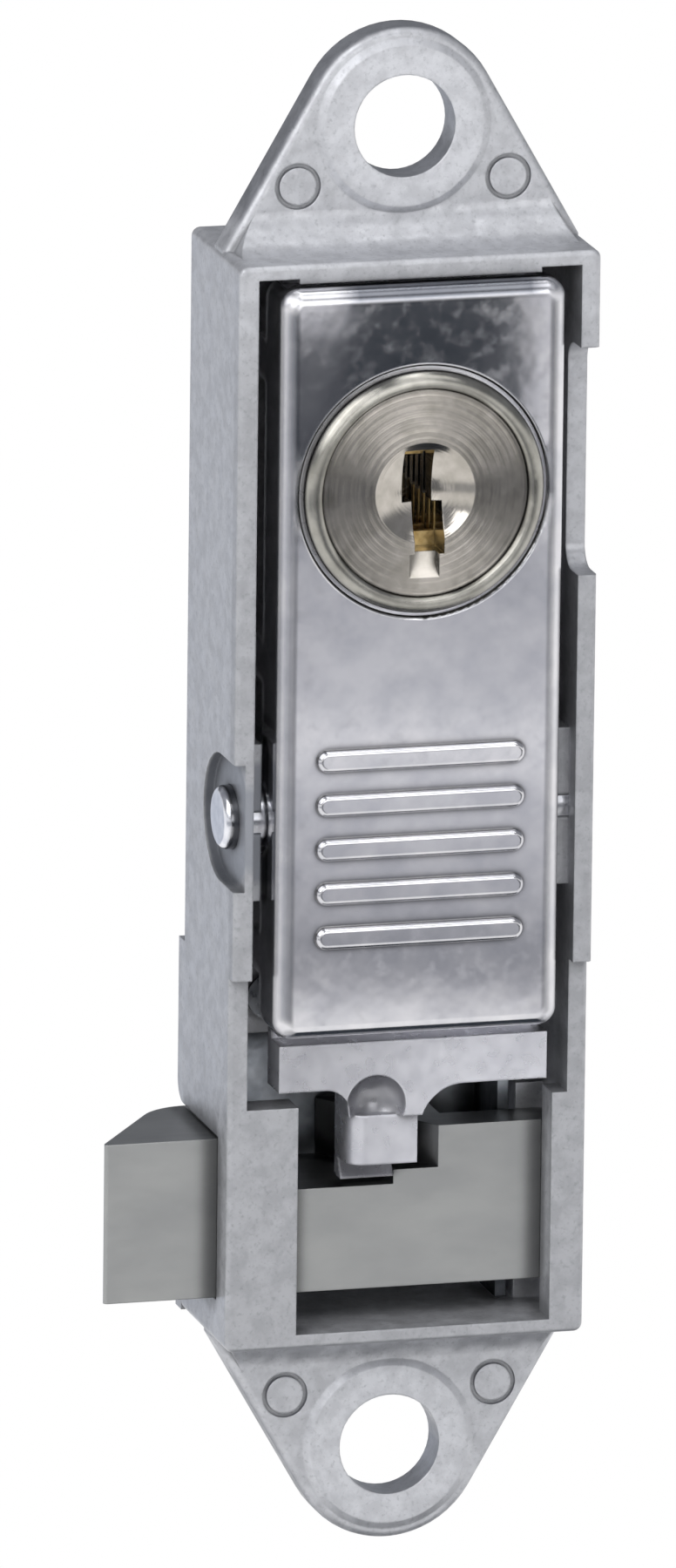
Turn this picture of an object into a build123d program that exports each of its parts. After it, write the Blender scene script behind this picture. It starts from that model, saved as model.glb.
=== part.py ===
from build123d import *
import math
import os

os.makedirs("parts", exist_ok=True)

# Panel lock: a flush paddle-handle latch for the door of a panel or enclosure.
# Units are millimetres. X is right, Z is up, and the front faces -Y.
# The origin lies midway between the two mounting holes, on the seats around them.
# A depth is measured from the housing's front face towards the back, along +Y.

# Housing casting
BODY_WIDTH = 25.4
BODY_HEIGHT = 76.4
BODY_DEPTH = 12.7
BODY_CORNER = 0.6
FRONT_EDGE = 0.35
SIDE_WALL = 1.35
LINTEL = 1.0
SILL = 1.0
FLOOR = 1.1
FRONT_STEP = 1.0
FRONT_STEP_Z = -11.7
BAY_TOP_Z = -12.0
BAY_REAR_RIM = 1.5
FLOOR_END_Z = -18.5

# Mounting ears
SEAT_SETBACK = 4.5
SEAT_RISE = 0.3
SEAT_SLOPE = 60
EAR_THICKNESS = 2.4
HOLE_PITCH = 92.8
HOLE_DIAMETER = 7.1
SEAT_DIAMETER = 11.2
EAR_TIP_RADIUS = 6.8
COVE_RADIUS = 2.6
EAR_EDGE = 0.6
EAR_ROOT_INSET = 0.15
EJECTOR_DIAMETER = 3.2
EJECTOR_GROOVE = 0.3
EJECTOR_X = 7.4
EJECTOR_FROM_HOLE = 3.9

# Front openings
FRAME_TOP_Z = -21.1
FRAME_THICKNESS = 2.5
LEFT_PILLAR = 5.0
RIGHT_PILLAR = 2.4
THUMB_CUT_TOP_Z = 31.4
THUMB_CUT_BOTTOM_Z = 15.5
THUMB_CUT_DEPTH = 3.2
THUMB_CUT_CORNER = 1.5
LINTEL_PAD_WIDTH = 17.0
LINTEL_PAD_DROP = 0.35
LINTEL_PAD_DEPTH = 1.5

# Handle pivot
PIVOT_DEPTH = 3.7
PIVOT_Z = -1.0
PIN_DIAMETER = 4.4
PIN_PROUD = 0.25
PIN_END_RADIUS = 0.6
PIVOT_RELIEF_RADIUS = 4.45
PIVOT_RELIEF = 0.75
PIVOT_BOSS = 0.95
PIVOT_BOSS_HALF = 5.5
PIVOT_BOSS_SETBACK = 1.6

# Handle cover and body
COVER_WIDTH = 20.0
COVER_TOP_Z = 36.65
COVER_BOTTOM_Z = -15.8
COVER_PROUD = 1.3
COVER_SHEET = 0.7
COVER_EDGE_RADIUS = 1.0
COVER_CORNER_RADIUS = 1.3
COVER_HOLE_GAP = 0.25
COVER_HOLE_EDGE = 0.25
COVER_FLANGE_DEPTH = 4.5
COVER_END_FLANGE = 1.6
HANDLE_WEB = 2.4
HANDLE_RAIL = 1.5
HANDLE_RAIL_DEPTH = 5.1
HANDLE_BOSS_RADIUS = 8.0
HANDLE_BOSS_DEPTH = 6.2
PIVOT_EYE_RADIUS = 3.9
RIB_COUNT = 5
RIB_LENGTH = 14.6
RIB_WIDTH = 1.5
RIB_PITCH = 3.1
RIB_RISE = 0.5
RIB_EDGE = 0.3
RIB_CENTRE_Z = -2.4
TAB_WIDTH = 3.0
TAB_REACH = 1.6
TAB_HEIGHTS = (31.0, 10.0, -10.5)

# Handle tail and finger
TAIL_DEPTH = 0.6
TAIL_THICKNESS = 3.0
TAIL_LEFT_X = -9.2
TAIL_RIGHT_X = 9.75
TAIL_BOTTOM_Z = -19.9
TAIL_SLOT = 0.65
TAIL_SLOT_DEPTH = 2.2
FINGER_LEFT_X = -4.1
FINGER_RIGHT_X = 0.8
FINGER_BOTTOM_Z = -25.5
FINGER_REAR_DEPTH = 4.7
FINGER_TAB_TOP_Z = -22.0
FINGER_TAB_SETBACK = 0.6
FINGER_LEFT_EDGE = 1.4
FINGER_RIGHT_EDGE = 0.5
LEFT_FILLET_RADIUS = 1.8
RIGHT_FILLET_RADIUS = 3.1
SCOOP_RADIUS = 2.1
SCOOP_X = -2.3
SCOOP_Z = -21.1
SCOOP_DEPTH = 1.6
TONGUE_RIGHT_X = -0.35
TONGUE_DROP = 1.4
TONGUE_THICKNESS = 1.6
TONGUE_LEAN = 0.9

# Latch bolt
BOLT_BOTTOM_Z = -34.9
BOLT_TOP_Z = -23.65
BOLT_FRONT_GAP = 0.1
BOLT_REAR_GAP = 0.1
BOLT_TIP_X = -20.85
BOLT_END_X = 12.2
BOLT_BEVEL_LENGTH = 6.1
BOLT_BEVEL_RADIUS = 4.0
BOLT_TIP_RADIUS = 0.25
BOLT_SHOULDER_X = 3.9
BOLT_TRAVEL = 3.8
BOLT_GUIDE_GAP = 0.15
NOTCH_LEFT_X = -9.2
NOTCH_STEP_X = -0.2
NOTCH_RIGHT_X = 3.0
NOTCH_FLOOR_Z = -27.6
NOTCH_STEP_Z = -26.6
RAMP_SLOPE = 0.7
WINDOW_CORNER = 1.5

# Bolt spring in its bore
BORE_END_X = -7.0
BORE_DIAMETER = 4.8
BORE_SETBACK = 2.9
BORE_FRONT_WALL = 0.6
BORE_Z = -31.3
SPRING_END_GAP = 0.2
BOLT_SPRING_DIAMETER = 4.2
BOLT_SPRING_WIRE = 0.5
BOLT_SPRING_TURNS = 7

# Back plate
PLATE_THICKNESS = 0.8
PLATE_GAP = 0.15
PLATE_TONGUE_WIDTH = 8.0
PLATE_TONGUE = 0.5
PLATE_FLANGE_X = 8.1
PLATE_FLANGE_TOP_Z = -20.6
GUIDE_LEFT_X = 9.4
GUIDE_TOP_Z = -21.9
GUIDE_GAP = 0.3
RIVET_X = 7.0
RIVET_Z = -15.9
RIVET_DIAMETER = 2.4
RIVET_HEAD_DIAMETER = 3.8
RIVET_CLINCH_DIAMETER = 3.2
RIVET_CLINCH = 0.35
RIVET_HEAD_RISE = 0.45
RIVET_HEAD_EDGE = 0.36

# Key cylinder
CYLINDER_Z = 22.3
CYLINDER_PROUD = 2.0
HEAD_DIAMETER = 16.9
HEAD_EDGE = 0.75
HEAD_INNER_EDGE = 0.3
FACE_DIAMETER = 14.5
FACE_RECESS = 1.0
PLUG_FACE_SETBACK = 0.3
BARREL_DIAMETER = 13.4
BARREL_FLATS = 12.4
BARREL_SETBACK = 0.4
PLUG_DIAMETER = 10.0
PLUG_TAIL_DIAMETER = 5.4
PLUG_TAIL_FLATS = 4.2
DISH_DIAMETER = 7.0
DISH_DEPTH = 1.1
KEYWAY_WIDTH = 2.1
KEYWAY_TOP = 2.9
KEYWAY_STEP = -0.8
KEYWAY_BOTTOM = -4.3
KEYWAY_OFFSET = 0.35
KEYWAY_SETBACK = 2.0
KEYWAY_FOOT_WIDTH = 2.1
KEYWAY_FOOT = 1.6
KEYWAY_FOOT_DEPTH = 1.0
WAFER_COUNT = 5
WAFER_THICKNESS = 0.55
WAFER_WIDTH = 6.0
WAFER_SLOT_PLAY = 0.1
WAFER_WINDOW_WIDTH = 2.7
WAFER_WINDOW_HEIGHT = 5.6
WAFER_FIRST_DEPTH = 0.9
WAFER_END_GAP = 0.35
WAFER_CUTS = (0.3, -0.2, 0.1, -0.4, 0.0)
CLIP_THICKNESS = 0.8
CLIP_SLOT = 11.2
CLIP_WIDTH = 14.8
CLIP_BELOW = 6.0
CLIP_BRIDGE = 1.5

# Locking cam and its fixing
CAM_THICKNESS = 1.0
CAM_REACH = 10.6
CAM_WIDTH = 6.0
CAM_HUB_DIAMETER = 9.0
WASHER_DIAMETER = 6.4
WASHER_THICKNESS = 0.4
SCREW_HEAD_DIAMETER = 5.0
SCREW_HEAD_HEIGHT = 0.8
SCREW_HEAD_EDGE = 0.4
SCREW_DIAMETER = 2.5
SCREW_LENGTH = 3.0
SCREW_SLOT_LENGTH = 3.0
SCREW_SLOT_WIDTH = 0.8
SCREW_SLOT_DEPTH = 0.4
KEEPER_WIDTH = 10.0
KEEPER_FRONT_DEPTH = 6.0
STOP_WIDTH = 17.0
STOP_THICKNESS = 0.8
STOP_DROP = 2.2

# Handle spring
TORSION_DIAMETER = 5.6
TORSION_WIRE = 0.6
TORSION_START_X = -5.0
TORSION_TURNS = 3
TORSION_PITCH = 1.1
TORSION_REAR_LEG_ANGLE = 45.0
TORSION_FRONT_LEG = 8.0
SPRING_POCKET_WIDTH = 13.0
SPRING_POCKET_GAP = 0.3

# Running clearances
PIN_FIT = 0.02
TURN_FIT = 0.05
SEAT_FIT = 0.1
SLIDE_FIT = 0.15
SWEEP_GAP = 0.4

HALF_WIDTH = BODY_WIDTH / 2
HALF_HEIGHT = BODY_HEIGHT / 2
INNER_HALF = HALF_WIDTH - SIDE_WALL
OPENING_TOP_Z = HALF_HEIGHT - LINTEL
OPENING_BOTTOM_Z = SILL - HALF_HEIGHT
FLOOR_DEPTH = BODY_DEPTH - FLOOR
BAY_BACK_DEPTH = BODY_DEPTH + BAY_REAR_RIM
FRAME_BACK_DEPTH = FRONT_STEP + FRAME_THICKNESS
SHEET_BACK_DEPTH = COVER_SHEET - COVER_PROUD
RAIL_BACK_DEPTH = SHEET_BACK_DEPTH + HANDLE_RAIL_DEPTH
BOSS_BACK_DEPTH = SHEET_BACK_DEPTH + HANDLE_BOSS_DEPTH
COVER_HALF = COVER_WIDTH / 2
HANDLE_HALF = COVER_HALF - COVER_SHEET - SEAT_FIT
SCREW_SEAT_DEPTH = FLOOR_DEPTH - SWEEP_GAP - SCREW_HEAD_HEIGHT
CAM_BACK_DEPTH = SCREW_SEAT_DEPTH - WASHER_THICKNESS
PLUG_SHOULDER_DEPTH = CAM_BACK_DEPTH - CAM_THICKNESS
BARREL_END_DEPTH = PLUG_SHOULDER_DEPTH - BARREL_SETBACK
KEYWAY_END_DEPTH = PLUG_SHOULDER_DEPTH - KEYWAY_SETBACK
KEEPER_BACK_DEPTH = PLUG_SHOULDER_DEPTH - SWEEP_GAP
BOLT_FRONT_DEPTH = FRAME_BACK_DEPTH + BOLT_FRONT_GAP
BOLT_BACK_DEPTH = BODY_DEPTH - BOLT_REAR_GAP
BORE_DEPTH = BOLT_BACK_DEPTH - BORE_SETBACK
BOLT_TONGUE_DEPTH = BORE_DEPTH - BORE_DIAMETER / 2 - BORE_FRONT_WALL
GUIDE_DEPTH = BOLT_TONGUE_DEPTH + GUIDE_GAP


def front_plane(depth):
    """A plane facing the front: its x is X, its y is Z, and a negative extrude goes deeper."""
    return Plane(origin=(0, depth - SEAT_SETBACK, 0), x_dir=(1, 0, 0), z_dir=(0, -1, 0))


def side_plane(x):
    """A plane across the lock: its x is the depth and its y is Z. A positive extrude goes right."""
    return Plane(origin=(x, -SEAT_SETBACK, 0), x_dir=(0, 1, 0), z_dir=(1, 0, 0))


def level_plane(z):
    """A level plane: its x is X and its y is the depth. A positive extrude goes up."""
    return Plane(origin=(0, -SEAT_SETBACK, z), x_dir=(1, 0, 0), z_dir=(0, 0, 1))


def span(low_x, high_x, low_y, high_y, mode=Mode.ADD):
    """Adds a rectangle between limits to the sketch that is open."""
    with Locations(((low_x + high_x) / 2, (low_y + high_y) / 2)):
        Rectangle(high_x - low_x, high_y - low_y, mode=mode)


# Ears: a plate with rounded front edges, a sloping seat, and a cove where it meets the body
def ear_outline(side):
    """Draws one ear: a round tip about the hole, with straight edges to the body's corners."""
    with Locations((0, side * HOLE_PITCH / 2)):
        Circle(EAR_TIP_RADIUS)
    root = HALF_HEIGHT - LINTEL / 2
    with Locations((0, side * root)):
        Rectangle(BODY_WIDTH - 2 * EAR_ROOT_INSET, LINTEL)
    make_hull()


def ear_plate(side):
    """One ear without its hole. side is 1 for the upper ear and -1 for the lower one."""
    with BuildPart() as plate:
        with BuildSketch(front_plane(SEAT_SETBACK + SEAT_RISE)):
            ear_outline(side)
        extrude(amount=-EAR_THICKNESS)
        fillet(plate.faces().sort_by(Axis.Y)[0].edges(), radius=EAR_EDGE)
        with BuildSketch(front_plane(SEAT_SETBACK)):
            with Locations((0, side * HOLE_PITCH / 2)):
                Circle(SEAT_DIAMETER / 2)
        extrude(amount=-SEAT_RISE, taper=-SEAT_SLOPE)
    return plate.part


def ear_cove(side):
    """The concave root of one ear, as wide as the flat part of the ear's front face."""
    front = SEAT_SETBACK + SEAT_RISE
    end_z = side * HALF_HEIGHT
    with BuildPart() as cove:
        with BuildSketch(side_plane(-HALF_WIDTH)):
            with BuildLine():
                Line((front, end_z), (front - COVE_RADIUS, end_z))
                CenterArc(
                    (front - COVE_RADIUS, end_z + side * COVE_RADIUS),
                    COVE_RADIUS,
                    -90 if side > 0 else 0,
                    90,
                )
                Line((front, end_z + side * COVE_RADIUS), (front, end_z))
            make_face()
        extrude(amount=BODY_WIDTH)
        with BuildSketch(front_plane(0)):
            ear_outline(side)
            offset(amount=-EAR_EDGE, mode=Mode.REPLACE)
        extrude(amount=-BODY_DEPTH, mode=Mode.INTERSECT)
    return cove.part


# Housing: a die-cast box with two ears, open at the front, with a bay for the bolt
cam_tip_sweep = math.hypot(CAM_BACK_DEPTH - PIVOT_DEPTH, CYLINDER_Z + CAM_REACH - PIVOT_Z)
keeper_bottom_z = PIVOT_Z + cam_tip_sweep + SWEEP_GAP
ear_pieces = [make(side) for make in (ear_plate, ear_cove) for side in (1, -1)]
with BuildPart() as housing:
    with BuildSketch(front_plane(0)):
        RectangleRounded(BODY_WIDTH, BODY_HEIGHT, BODY_CORNER)
    extrude(amount=-BODY_DEPTH)
    with BuildSketch(front_plane(0)):
        span(-BODY_WIDTH, BODY_WIDTH, -BODY_HEIGHT, FRONT_STEP_Z)
    extrude(amount=-FRONT_STEP, mode=Mode.SUBTRACT)
    upper_front, lower_front = housing.faces().filter_by(Axis.Y).sort_by(Axis.Y)[:2]
    outer_edges = upper_front.edges().sort_by(Axis.Z)[1:] + lower_front.edges().sort_by(Axis.Z)[:-1]
    fillet(outer_edges, radius=FRONT_EDGE)
    with BuildSketch(front_plane(BODY_DEPTH)):
        span(-HALF_WIDTH, HALF_WIDTH, -HALF_HEIGHT, BAY_TOP_Z)
    extrude(amount=-BAY_REAR_RIM)
    for piece in ear_pieces:
        add(piece)
    # Cavity for the handle, then the window and the bay of the bolt
    with BuildSketch(front_plane(0)):
        span(-INNER_HALF, INNER_HALF, FRAME_TOP_Z, OPENING_TOP_Z)
    extrude(amount=-FLOOR_DEPTH, mode=Mode.SUBTRACT)
    with BuildSketch(front_plane(FRONT_STEP)):
        span(LEFT_PILLAR - HALF_WIDTH, HALF_WIDTH - RIGHT_PILLAR, OPENING_BOTTOM_Z, FRAME_TOP_Z)
    extrude(amount=-FRAME_THICKNESS, mode=Mode.SUBTRACT)
    with BuildSketch(front_plane(FRAME_BACK_DEPTH)):
        span(-INNER_HALF, INNER_HALF, OPENING_BOTTOM_Z, FLOOR_END_Z)
    extrude(amount=FRAME_BACK_DEPTH - BAY_BACK_DEPTH, mode=Mode.SUBTRACT)
    with BuildSketch(front_plane(BODY_DEPTH)):
        span(-INNER_HALF, INNER_HALF, OPENING_BOTTOM_Z, BAY_TOP_Z - SIDE_WALL)
        slot_half = PLATE_TONGUE_WIDTH / 2 + PLATE_GAP
        slot_end = OPENING_BOTTOM_Z - PLATE_TONGUE
        span(-slot_half, slot_half, slot_end, OPENING_BOTTOM_Z)
    extrude(amount=-BAY_REAR_RIM, mode=Mode.SUBTRACT)
    # Windows for the bolt: the left one is open at the back, the right one is a slot
    window_bottom_z = BOLT_BOTTOM_Z - BOLT_GUIDE_GAP
    window_top_z = BOLT_TOP_Z + BOLT_GUIDE_GAP
    window_centre_z = (window_bottom_z + window_top_z) / 2
    with BuildSketch(side_plane(-HALF_WIDTH)) as window_outline:
        span(FRAME_BACK_DEPTH, BAY_BACK_DEPTH, window_bottom_z, window_top_z)
        span(
            BAY_BACK_DEPTH,
            BAY_BACK_DEPTH + WINDOW_CORNER,
            window_bottom_z - 2 * WINDOW_CORNER,
            window_top_z + 2 * WINDOW_CORNER,
        )
        rear_corners = window_outline.vertices().filter_by_position(
            Axis.X, BAY_BACK_DEPTH - PIN_FIT, BAY_BACK_DEPTH + PIN_FIT
        )
        fillet(
            rear_corners.sort_by_distance((BAY_BACK_DEPTH, window_centre_z, 0))[:2],
            radius=WINDOW_CORNER,
        )
    extrude(amount=SIDE_WALL, mode=Mode.SUBTRACT)
    with BuildSketch(front_plane(GUIDE_DEPTH)):
        span(GUIDE_LEFT_X, INNER_HALF, OPENING_BOTTOM_Z, GUIDE_TOP_Z)
    extrude(amount=GUIDE_DEPTH - BAY_BACK_DEPTH)
    with BuildSketch(side_plane(INNER_HALF)):
        span(FRAME_BACK_DEPTH, GUIDE_DEPTH, window_bottom_z, window_top_z)
    extrude(amount=SIDE_WALL, mode=Mode.SUBTRACT)
    # Thumb cut in the right wall, beside the cylinder
    with BuildSketch(side_plane(INNER_HALF)):
        with Locations((0, (THUMB_CUT_TOP_Z + THUMB_CUT_BOTTOM_Z) / 2)):
            RectangleRounded(
                2 * THUMB_CUT_DEPTH,
                THUMB_CUT_TOP_Z - THUMB_CUT_BOTTOM_Z,
                THUMB_CUT_CORNER,
            )
    extrude(amount=SIDE_WALL, mode=Mode.SUBTRACT)
    # Lintel pad above the cover, the stop for the closed handle, and the cam's keeper
    with BuildSketch(front_plane(0)):
        span(
            -LINTEL_PAD_WIDTH / 2,
            LINTEL_PAD_WIDTH / 2,
            OPENING_TOP_Z - LINTEL_PAD_DROP,
            OPENING_TOP_Z,
        )
    extrude(amount=-LINTEL_PAD_DEPTH)
    with BuildSketch(front_plane(RAIL_BACK_DEPTH + SEAT_FIT)):
        span(-STOP_WIDTH / 2, STOP_WIDTH / 2, OPENING_TOP_Z - STOP_DROP, OPENING_TOP_Z)
    extrude(amount=-STOP_THICKNESS)
    with BuildSketch(front_plane(KEEPER_FRONT_DEPTH)):
        span(-KEEPER_WIDTH / 2, KEEPER_WIDTH / 2, keeper_bottom_z, OPENING_TOP_Z)
    extrude(amount=KEEPER_FRONT_DEPTH - KEEPER_BACK_DEPTH)
    # Pivot: a relief outside on the left, open at the front, and a boss inside each wall
    with BuildSketch(side_plane(-HALF_WIDTH)):
        with Locations((PIVOT_DEPTH, PIVOT_Z)):
            Circle(PIVOT_RELIEF_RADIUS)
        span(
            0,
            PIVOT_DEPTH,
            PIVOT_Z - PIVOT_RELIEF_RADIUS,
            PIVOT_Z + PIVOT_RELIEF_RADIUS,
        )
    extrude(amount=PIVOT_RELIEF, mode=Mode.SUBTRACT)
    for side in (1, -1):
        with BuildSketch(side_plane(side * INNER_HALF)):
            span(
                PIVOT_BOSS_SETBACK,
                FLOOR_DEPTH,
                PIVOT_Z - PIVOT_BOSS_HALF,
                PIVOT_Z + PIVOT_BOSS_HALF,
            )
        extrude(amount=-side * PIVOT_BOSS)
    with BuildSketch(side_plane(-HALF_WIDTH)):
        with Locations((PIVOT_DEPTH, PIVOT_Z)):
            Circle(PIN_DIAMETER / 2 + PIN_FIT)
    extrude(amount=BODY_WIDTH, mode=Mode.SUBTRACT)
    # Rivet holes in the floor's lip, and the mounting holes with the ejector marks
    with BuildSketch(front_plane(FLOOR_DEPTH)):
        with Locations((-RIVET_X, RIVET_Z), (RIVET_X, RIVET_Z)):
            Circle(RIVET_DIAMETER / 2 + PIN_FIT)
    extrude(amount=-FLOOR, mode=Mode.SUBTRACT)
    with BuildSketch(front_plane(SEAT_SETBACK)):
        with GridLocations(0, HOLE_PITCH, 1, 2):
            Circle(HOLE_DIAMETER / 2)
    extrude(amount=-SEAT_RISE - EAR_THICKNESS, mode=Mode.SUBTRACT)
    with BuildSketch(front_plane(SEAT_SETBACK + SEAT_RISE)):
        with GridLocations(2 * EJECTOR_X, HOLE_PITCH - 2 * EJECTOR_FROM_HOLE, 2, 2):
            Circle(EJECTOR_DIAMETER / 2)
            Circle(EJECTOR_DIAMETER / 2 - EJECTOR_GROOVE, mode=Mode.SUBTRACT)
    extrude(amount=-EJECTOR_GROOVE, mode=Mode.SUBTRACT)
housing.part.label = "housing"
export_step(housing.part, "parts/housing.step")

# Back plate: a pressed cover over the bolt bay, its right edge bent forward for the spring
plate_half = INNER_HALF - PLATE_GAP
flange_right_x = PLATE_FLANGE_X + PLATE_THICKNESS
with BuildPart() as back_plate:
    with BuildSketch(front_plane(BODY_DEPTH)):
        plate_top_z = BAY_TOP_Z - SIDE_WALL - PLATE_GAP
        shoulder_z = GUIDE_TOP_Z + PLATE_GAP
        span(-plate_half, plate_half, shoulder_z, plate_top_z)
        span(-plate_half, flange_right_x, OPENING_BOTTOM_Z + PLATE_GAP, shoulder_z)
        span(
            -PLATE_TONGUE_WIDTH / 2,
            PLATE_TONGUE_WIDTH / 2,
            OPENING_BOTTOM_Z - PLATE_TONGUE + PLATE_GAP,
            OPENING_BOTTOM_Z + PLATE_GAP,
        )
        with Locations((-RIVET_X, RIVET_Z), (RIVET_X, RIVET_Z)):
            Circle(RIVET_DIAMETER / 2 + PIN_FIT, mode=Mode.SUBTRACT)
    extrude(amount=-PLATE_THICKNESS)
    with BuildSketch(front_plane(BODY_DEPTH)):
        span(
            PLATE_FLANGE_X,
            flange_right_x,
            OPENING_BOTTOM_Z + PLATE_GAP,
            PLATE_FLANGE_TOP_Z,
        )
    extrude(amount=BODY_DEPTH - GUIDE_DEPTH)
back_plate.part.label = "back_plate"
export_step(back_plate.part, "parts/back_plate.step")

# Two rivets that hold the back plate to the lip of the housing's floor
with BuildPart() as plate_rivets:
    with BuildSketch(front_plane(FLOOR_DEPTH)):
        with Locations((-RIVET_X, RIVET_Z), (RIVET_X, RIVET_Z)):
            Circle(RIVET_DIAMETER / 2)
    extrude(amount=-FLOOR - PLATE_THICKNESS)
    with BuildSketch(front_plane(FLOOR_DEPTH)):
        with Locations((-RIVET_X, RIVET_Z), (RIVET_X, RIVET_Z)):
            Circle(RIVET_CLINCH_DIAMETER / 2)
    extrude(amount=RIVET_CLINCH)
    with BuildSketch(front_plane(BODY_DEPTH + PLATE_THICKNESS)):
        with Locations((-RIVET_X, RIVET_Z), (RIVET_X, RIVET_Z)):
            Circle(RIVET_HEAD_DIAMETER / 2)
    extrude(amount=-RIVET_HEAD_RISE)
    fillet(
        plate_rivets.faces().group_by(Axis.Y)[-1].edges(),
        radius=RIVET_HEAD_EDGE,
    )
plate_rivets.part.label = "plate_rivets"
export_step(plate_rivets.part, "parts/plate_rivets.step")

# Latch bolt: bevelled behind its tip, with a ramped notch, a spring bore and a thin tongue
ramp_foot_x = NOTCH_RIGHT_X - RAMP_SLOPE * (BOLT_BACK_DEPTH - BOLT_FRONT_DEPTH)
step_meets_ramp = BOLT_FRONT_DEPTH + (NOTCH_RIGHT_X - NOTCH_STEP_X) / RAMP_SLOPE
with BuildPart() as latch_bolt:
    with BuildSketch(level_plane(BOLT_BOTTOM_Z)) as bolt_profile:
        with BuildLine():
            Polyline(
                (BOLT_TIP_X, BOLT_FRONT_DEPTH),
                (BOLT_END_X, BOLT_FRONT_DEPTH),
                (BOLT_END_X, BOLT_TONGUE_DEPTH),
                (BOLT_SHOULDER_X, BOLT_TONGUE_DEPTH),
                (BOLT_SHOULDER_X, BOLT_BACK_DEPTH),
                (BOLT_TIP_X + BOLT_BEVEL_LENGTH, BOLT_BACK_DEPTH),
                close=True,
            )
        make_face()
        fillet(bolt_profile.vertices().sort_by(Axis.X)[1], radius=BOLT_BEVEL_RADIUS)
        fillet(bolt_profile.vertices().sort_by(Axis.X)[0], radius=BOLT_TIP_RADIUS)
    extrude(amount=BOLT_TOP_Z - BOLT_BOTTOM_Z)
    with BuildSketch(level_plane(NOTCH_STEP_Z)):
        with BuildLine():
            Polyline(
                (NOTCH_LEFT_X, BOLT_FRONT_DEPTH),
                (NOTCH_RIGHT_X, BOLT_FRONT_DEPTH),
                (ramp_foot_x, BOLT_BACK_DEPTH),
                (NOTCH_LEFT_X, BOLT_BACK_DEPTH),
                close=True,
            )
        make_face()
    extrude(amount=BOLT_TOP_Z - NOTCH_STEP_Z, mode=Mode.SUBTRACT)
    with BuildSketch(level_plane(NOTCH_FLOOR_Z)):
        with BuildLine():
            Polyline(
                (NOTCH_LEFT_X, BOLT_FRONT_DEPTH),
                (NOTCH_STEP_X, BOLT_FRONT_DEPTH),
                (NOTCH_STEP_X, step_meets_ramp),
                (ramp_foot_x, BOLT_BACK_DEPTH),
                (NOTCH_LEFT_X, BOLT_BACK_DEPTH),
                close=True,
            )
        make_face()
    extrude(amount=NOTCH_STEP_Z - NOTCH_FLOOR_Z, mode=Mode.SUBTRACT)
    with BuildSketch(side_plane(BOLT_SHOULDER_X)):
        with Locations((BORE_DEPTH, BORE_Z)):
            Circle(BORE_DIAMETER / 2)
    extrude(amount=BORE_END_X - BOLT_SHOULDER_X, mode=Mode.SUBTRACT)
latch_bolt.part.label = "latch_bolt"
export_step(latch_bolt.part, "parts/latch_bolt.step")


# Springs: round wire swept along pairs of arcs that follow a helix
def add_biarc(start, start_way, end, end_way):
    """Adds two arcs to the open line: they leave start and reach end along the given ways."""
    chord = end - start
    along = chord.dot(start_way + end_way)
    turn = 2 * (1 - start_way.dot(end_way))
    reach = (math.sqrt(along**2 + turn * chord.dot(chord)) - along) / turn
    near = start + start_way * reach
    far = end - end_way * reach
    middle = (near + far) / 2
    TangentArc(start, middle, tangent=start_way)
    TangentArc(middle, end, tangent=far - near)


def coil_point(axis_depth, axis_z, start_x, radius, pitch, angle):
    """A point of a helix about an axis along X, at an angle in degrees from straight back."""
    turn = math.radians(angle)
    return Vector(
        start_x + pitch * angle / 360,
        axis_depth - SEAT_SETBACK + radius * math.cos(turn),
        axis_z + radius * math.sin(turn),
    )


def coil_way(radius, pitch, angle):
    """The direction of that helix at the same angle."""
    turn = math.radians(angle)
    rise = pitch / (2 * math.pi * radius)
    return Vector(rise, -math.sin(turn), math.cos(turn)).normalized()


def add_coil(axis_depth, axis_z, start_x, radius, pitch, first_angle, last_angle):
    """Adds a helix to the open line, in arcs for each quarter turn or a little less."""
    steps = math.ceil((last_angle - first_angle) / 90)
    angles = [first_angle + (last_angle - first_angle) * i / steps for i in range(steps + 1)]
    points = [coil_point(axis_depth, axis_z, start_x, radius, pitch, a) for a in angles]
    ways = [coil_way(radius, pitch, a) for a in angles]
    for i in range(steps):
        add_biarc(points[i], ways[i], points[i + 1], ways[i + 1])
    return points[0], ways[0], points[-1], ways[-1]


# Bolt spring: lies in the bolt's bore and pushes the bolt out, away from the plate's flange
bolt_spring_radius = (BOLT_SPRING_DIAMETER - BOLT_SPRING_WIRE) / 2
bolt_spring_start = BORE_END_X + BOLT_TRAVEL + SPRING_END_GAP + BOLT_SPRING_WIRE / 2
bolt_spring_end = PLATE_FLANGE_X - SEAT_FIT - BOLT_SPRING_WIRE / 2
bolt_spring_pitch = (bolt_spring_end - bolt_spring_start) / BOLT_SPRING_TURNS
with BuildPart() as bolt_spring:
    with BuildLine():
        first_point, first_way, _, _ = add_coil(
            BORE_DEPTH,
            BORE_Z,
            bolt_spring_start,
            bolt_spring_radius,
            bolt_spring_pitch,
            0,
            360 * BOLT_SPRING_TURNS,
        )
    with BuildSketch(Plane(origin=first_point, z_dir=first_way)):
        Circle(BOLT_SPRING_WIRE / 2)
    sweep()
bolt_spring.part.label = "bolt_spring"
export_step(bolt_spring.part, "parts/bolt_spring.step")
print("bolt spring gap between turns", round(bolt_spring_pitch - BOLT_SPRING_WIRE, 2))

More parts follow.
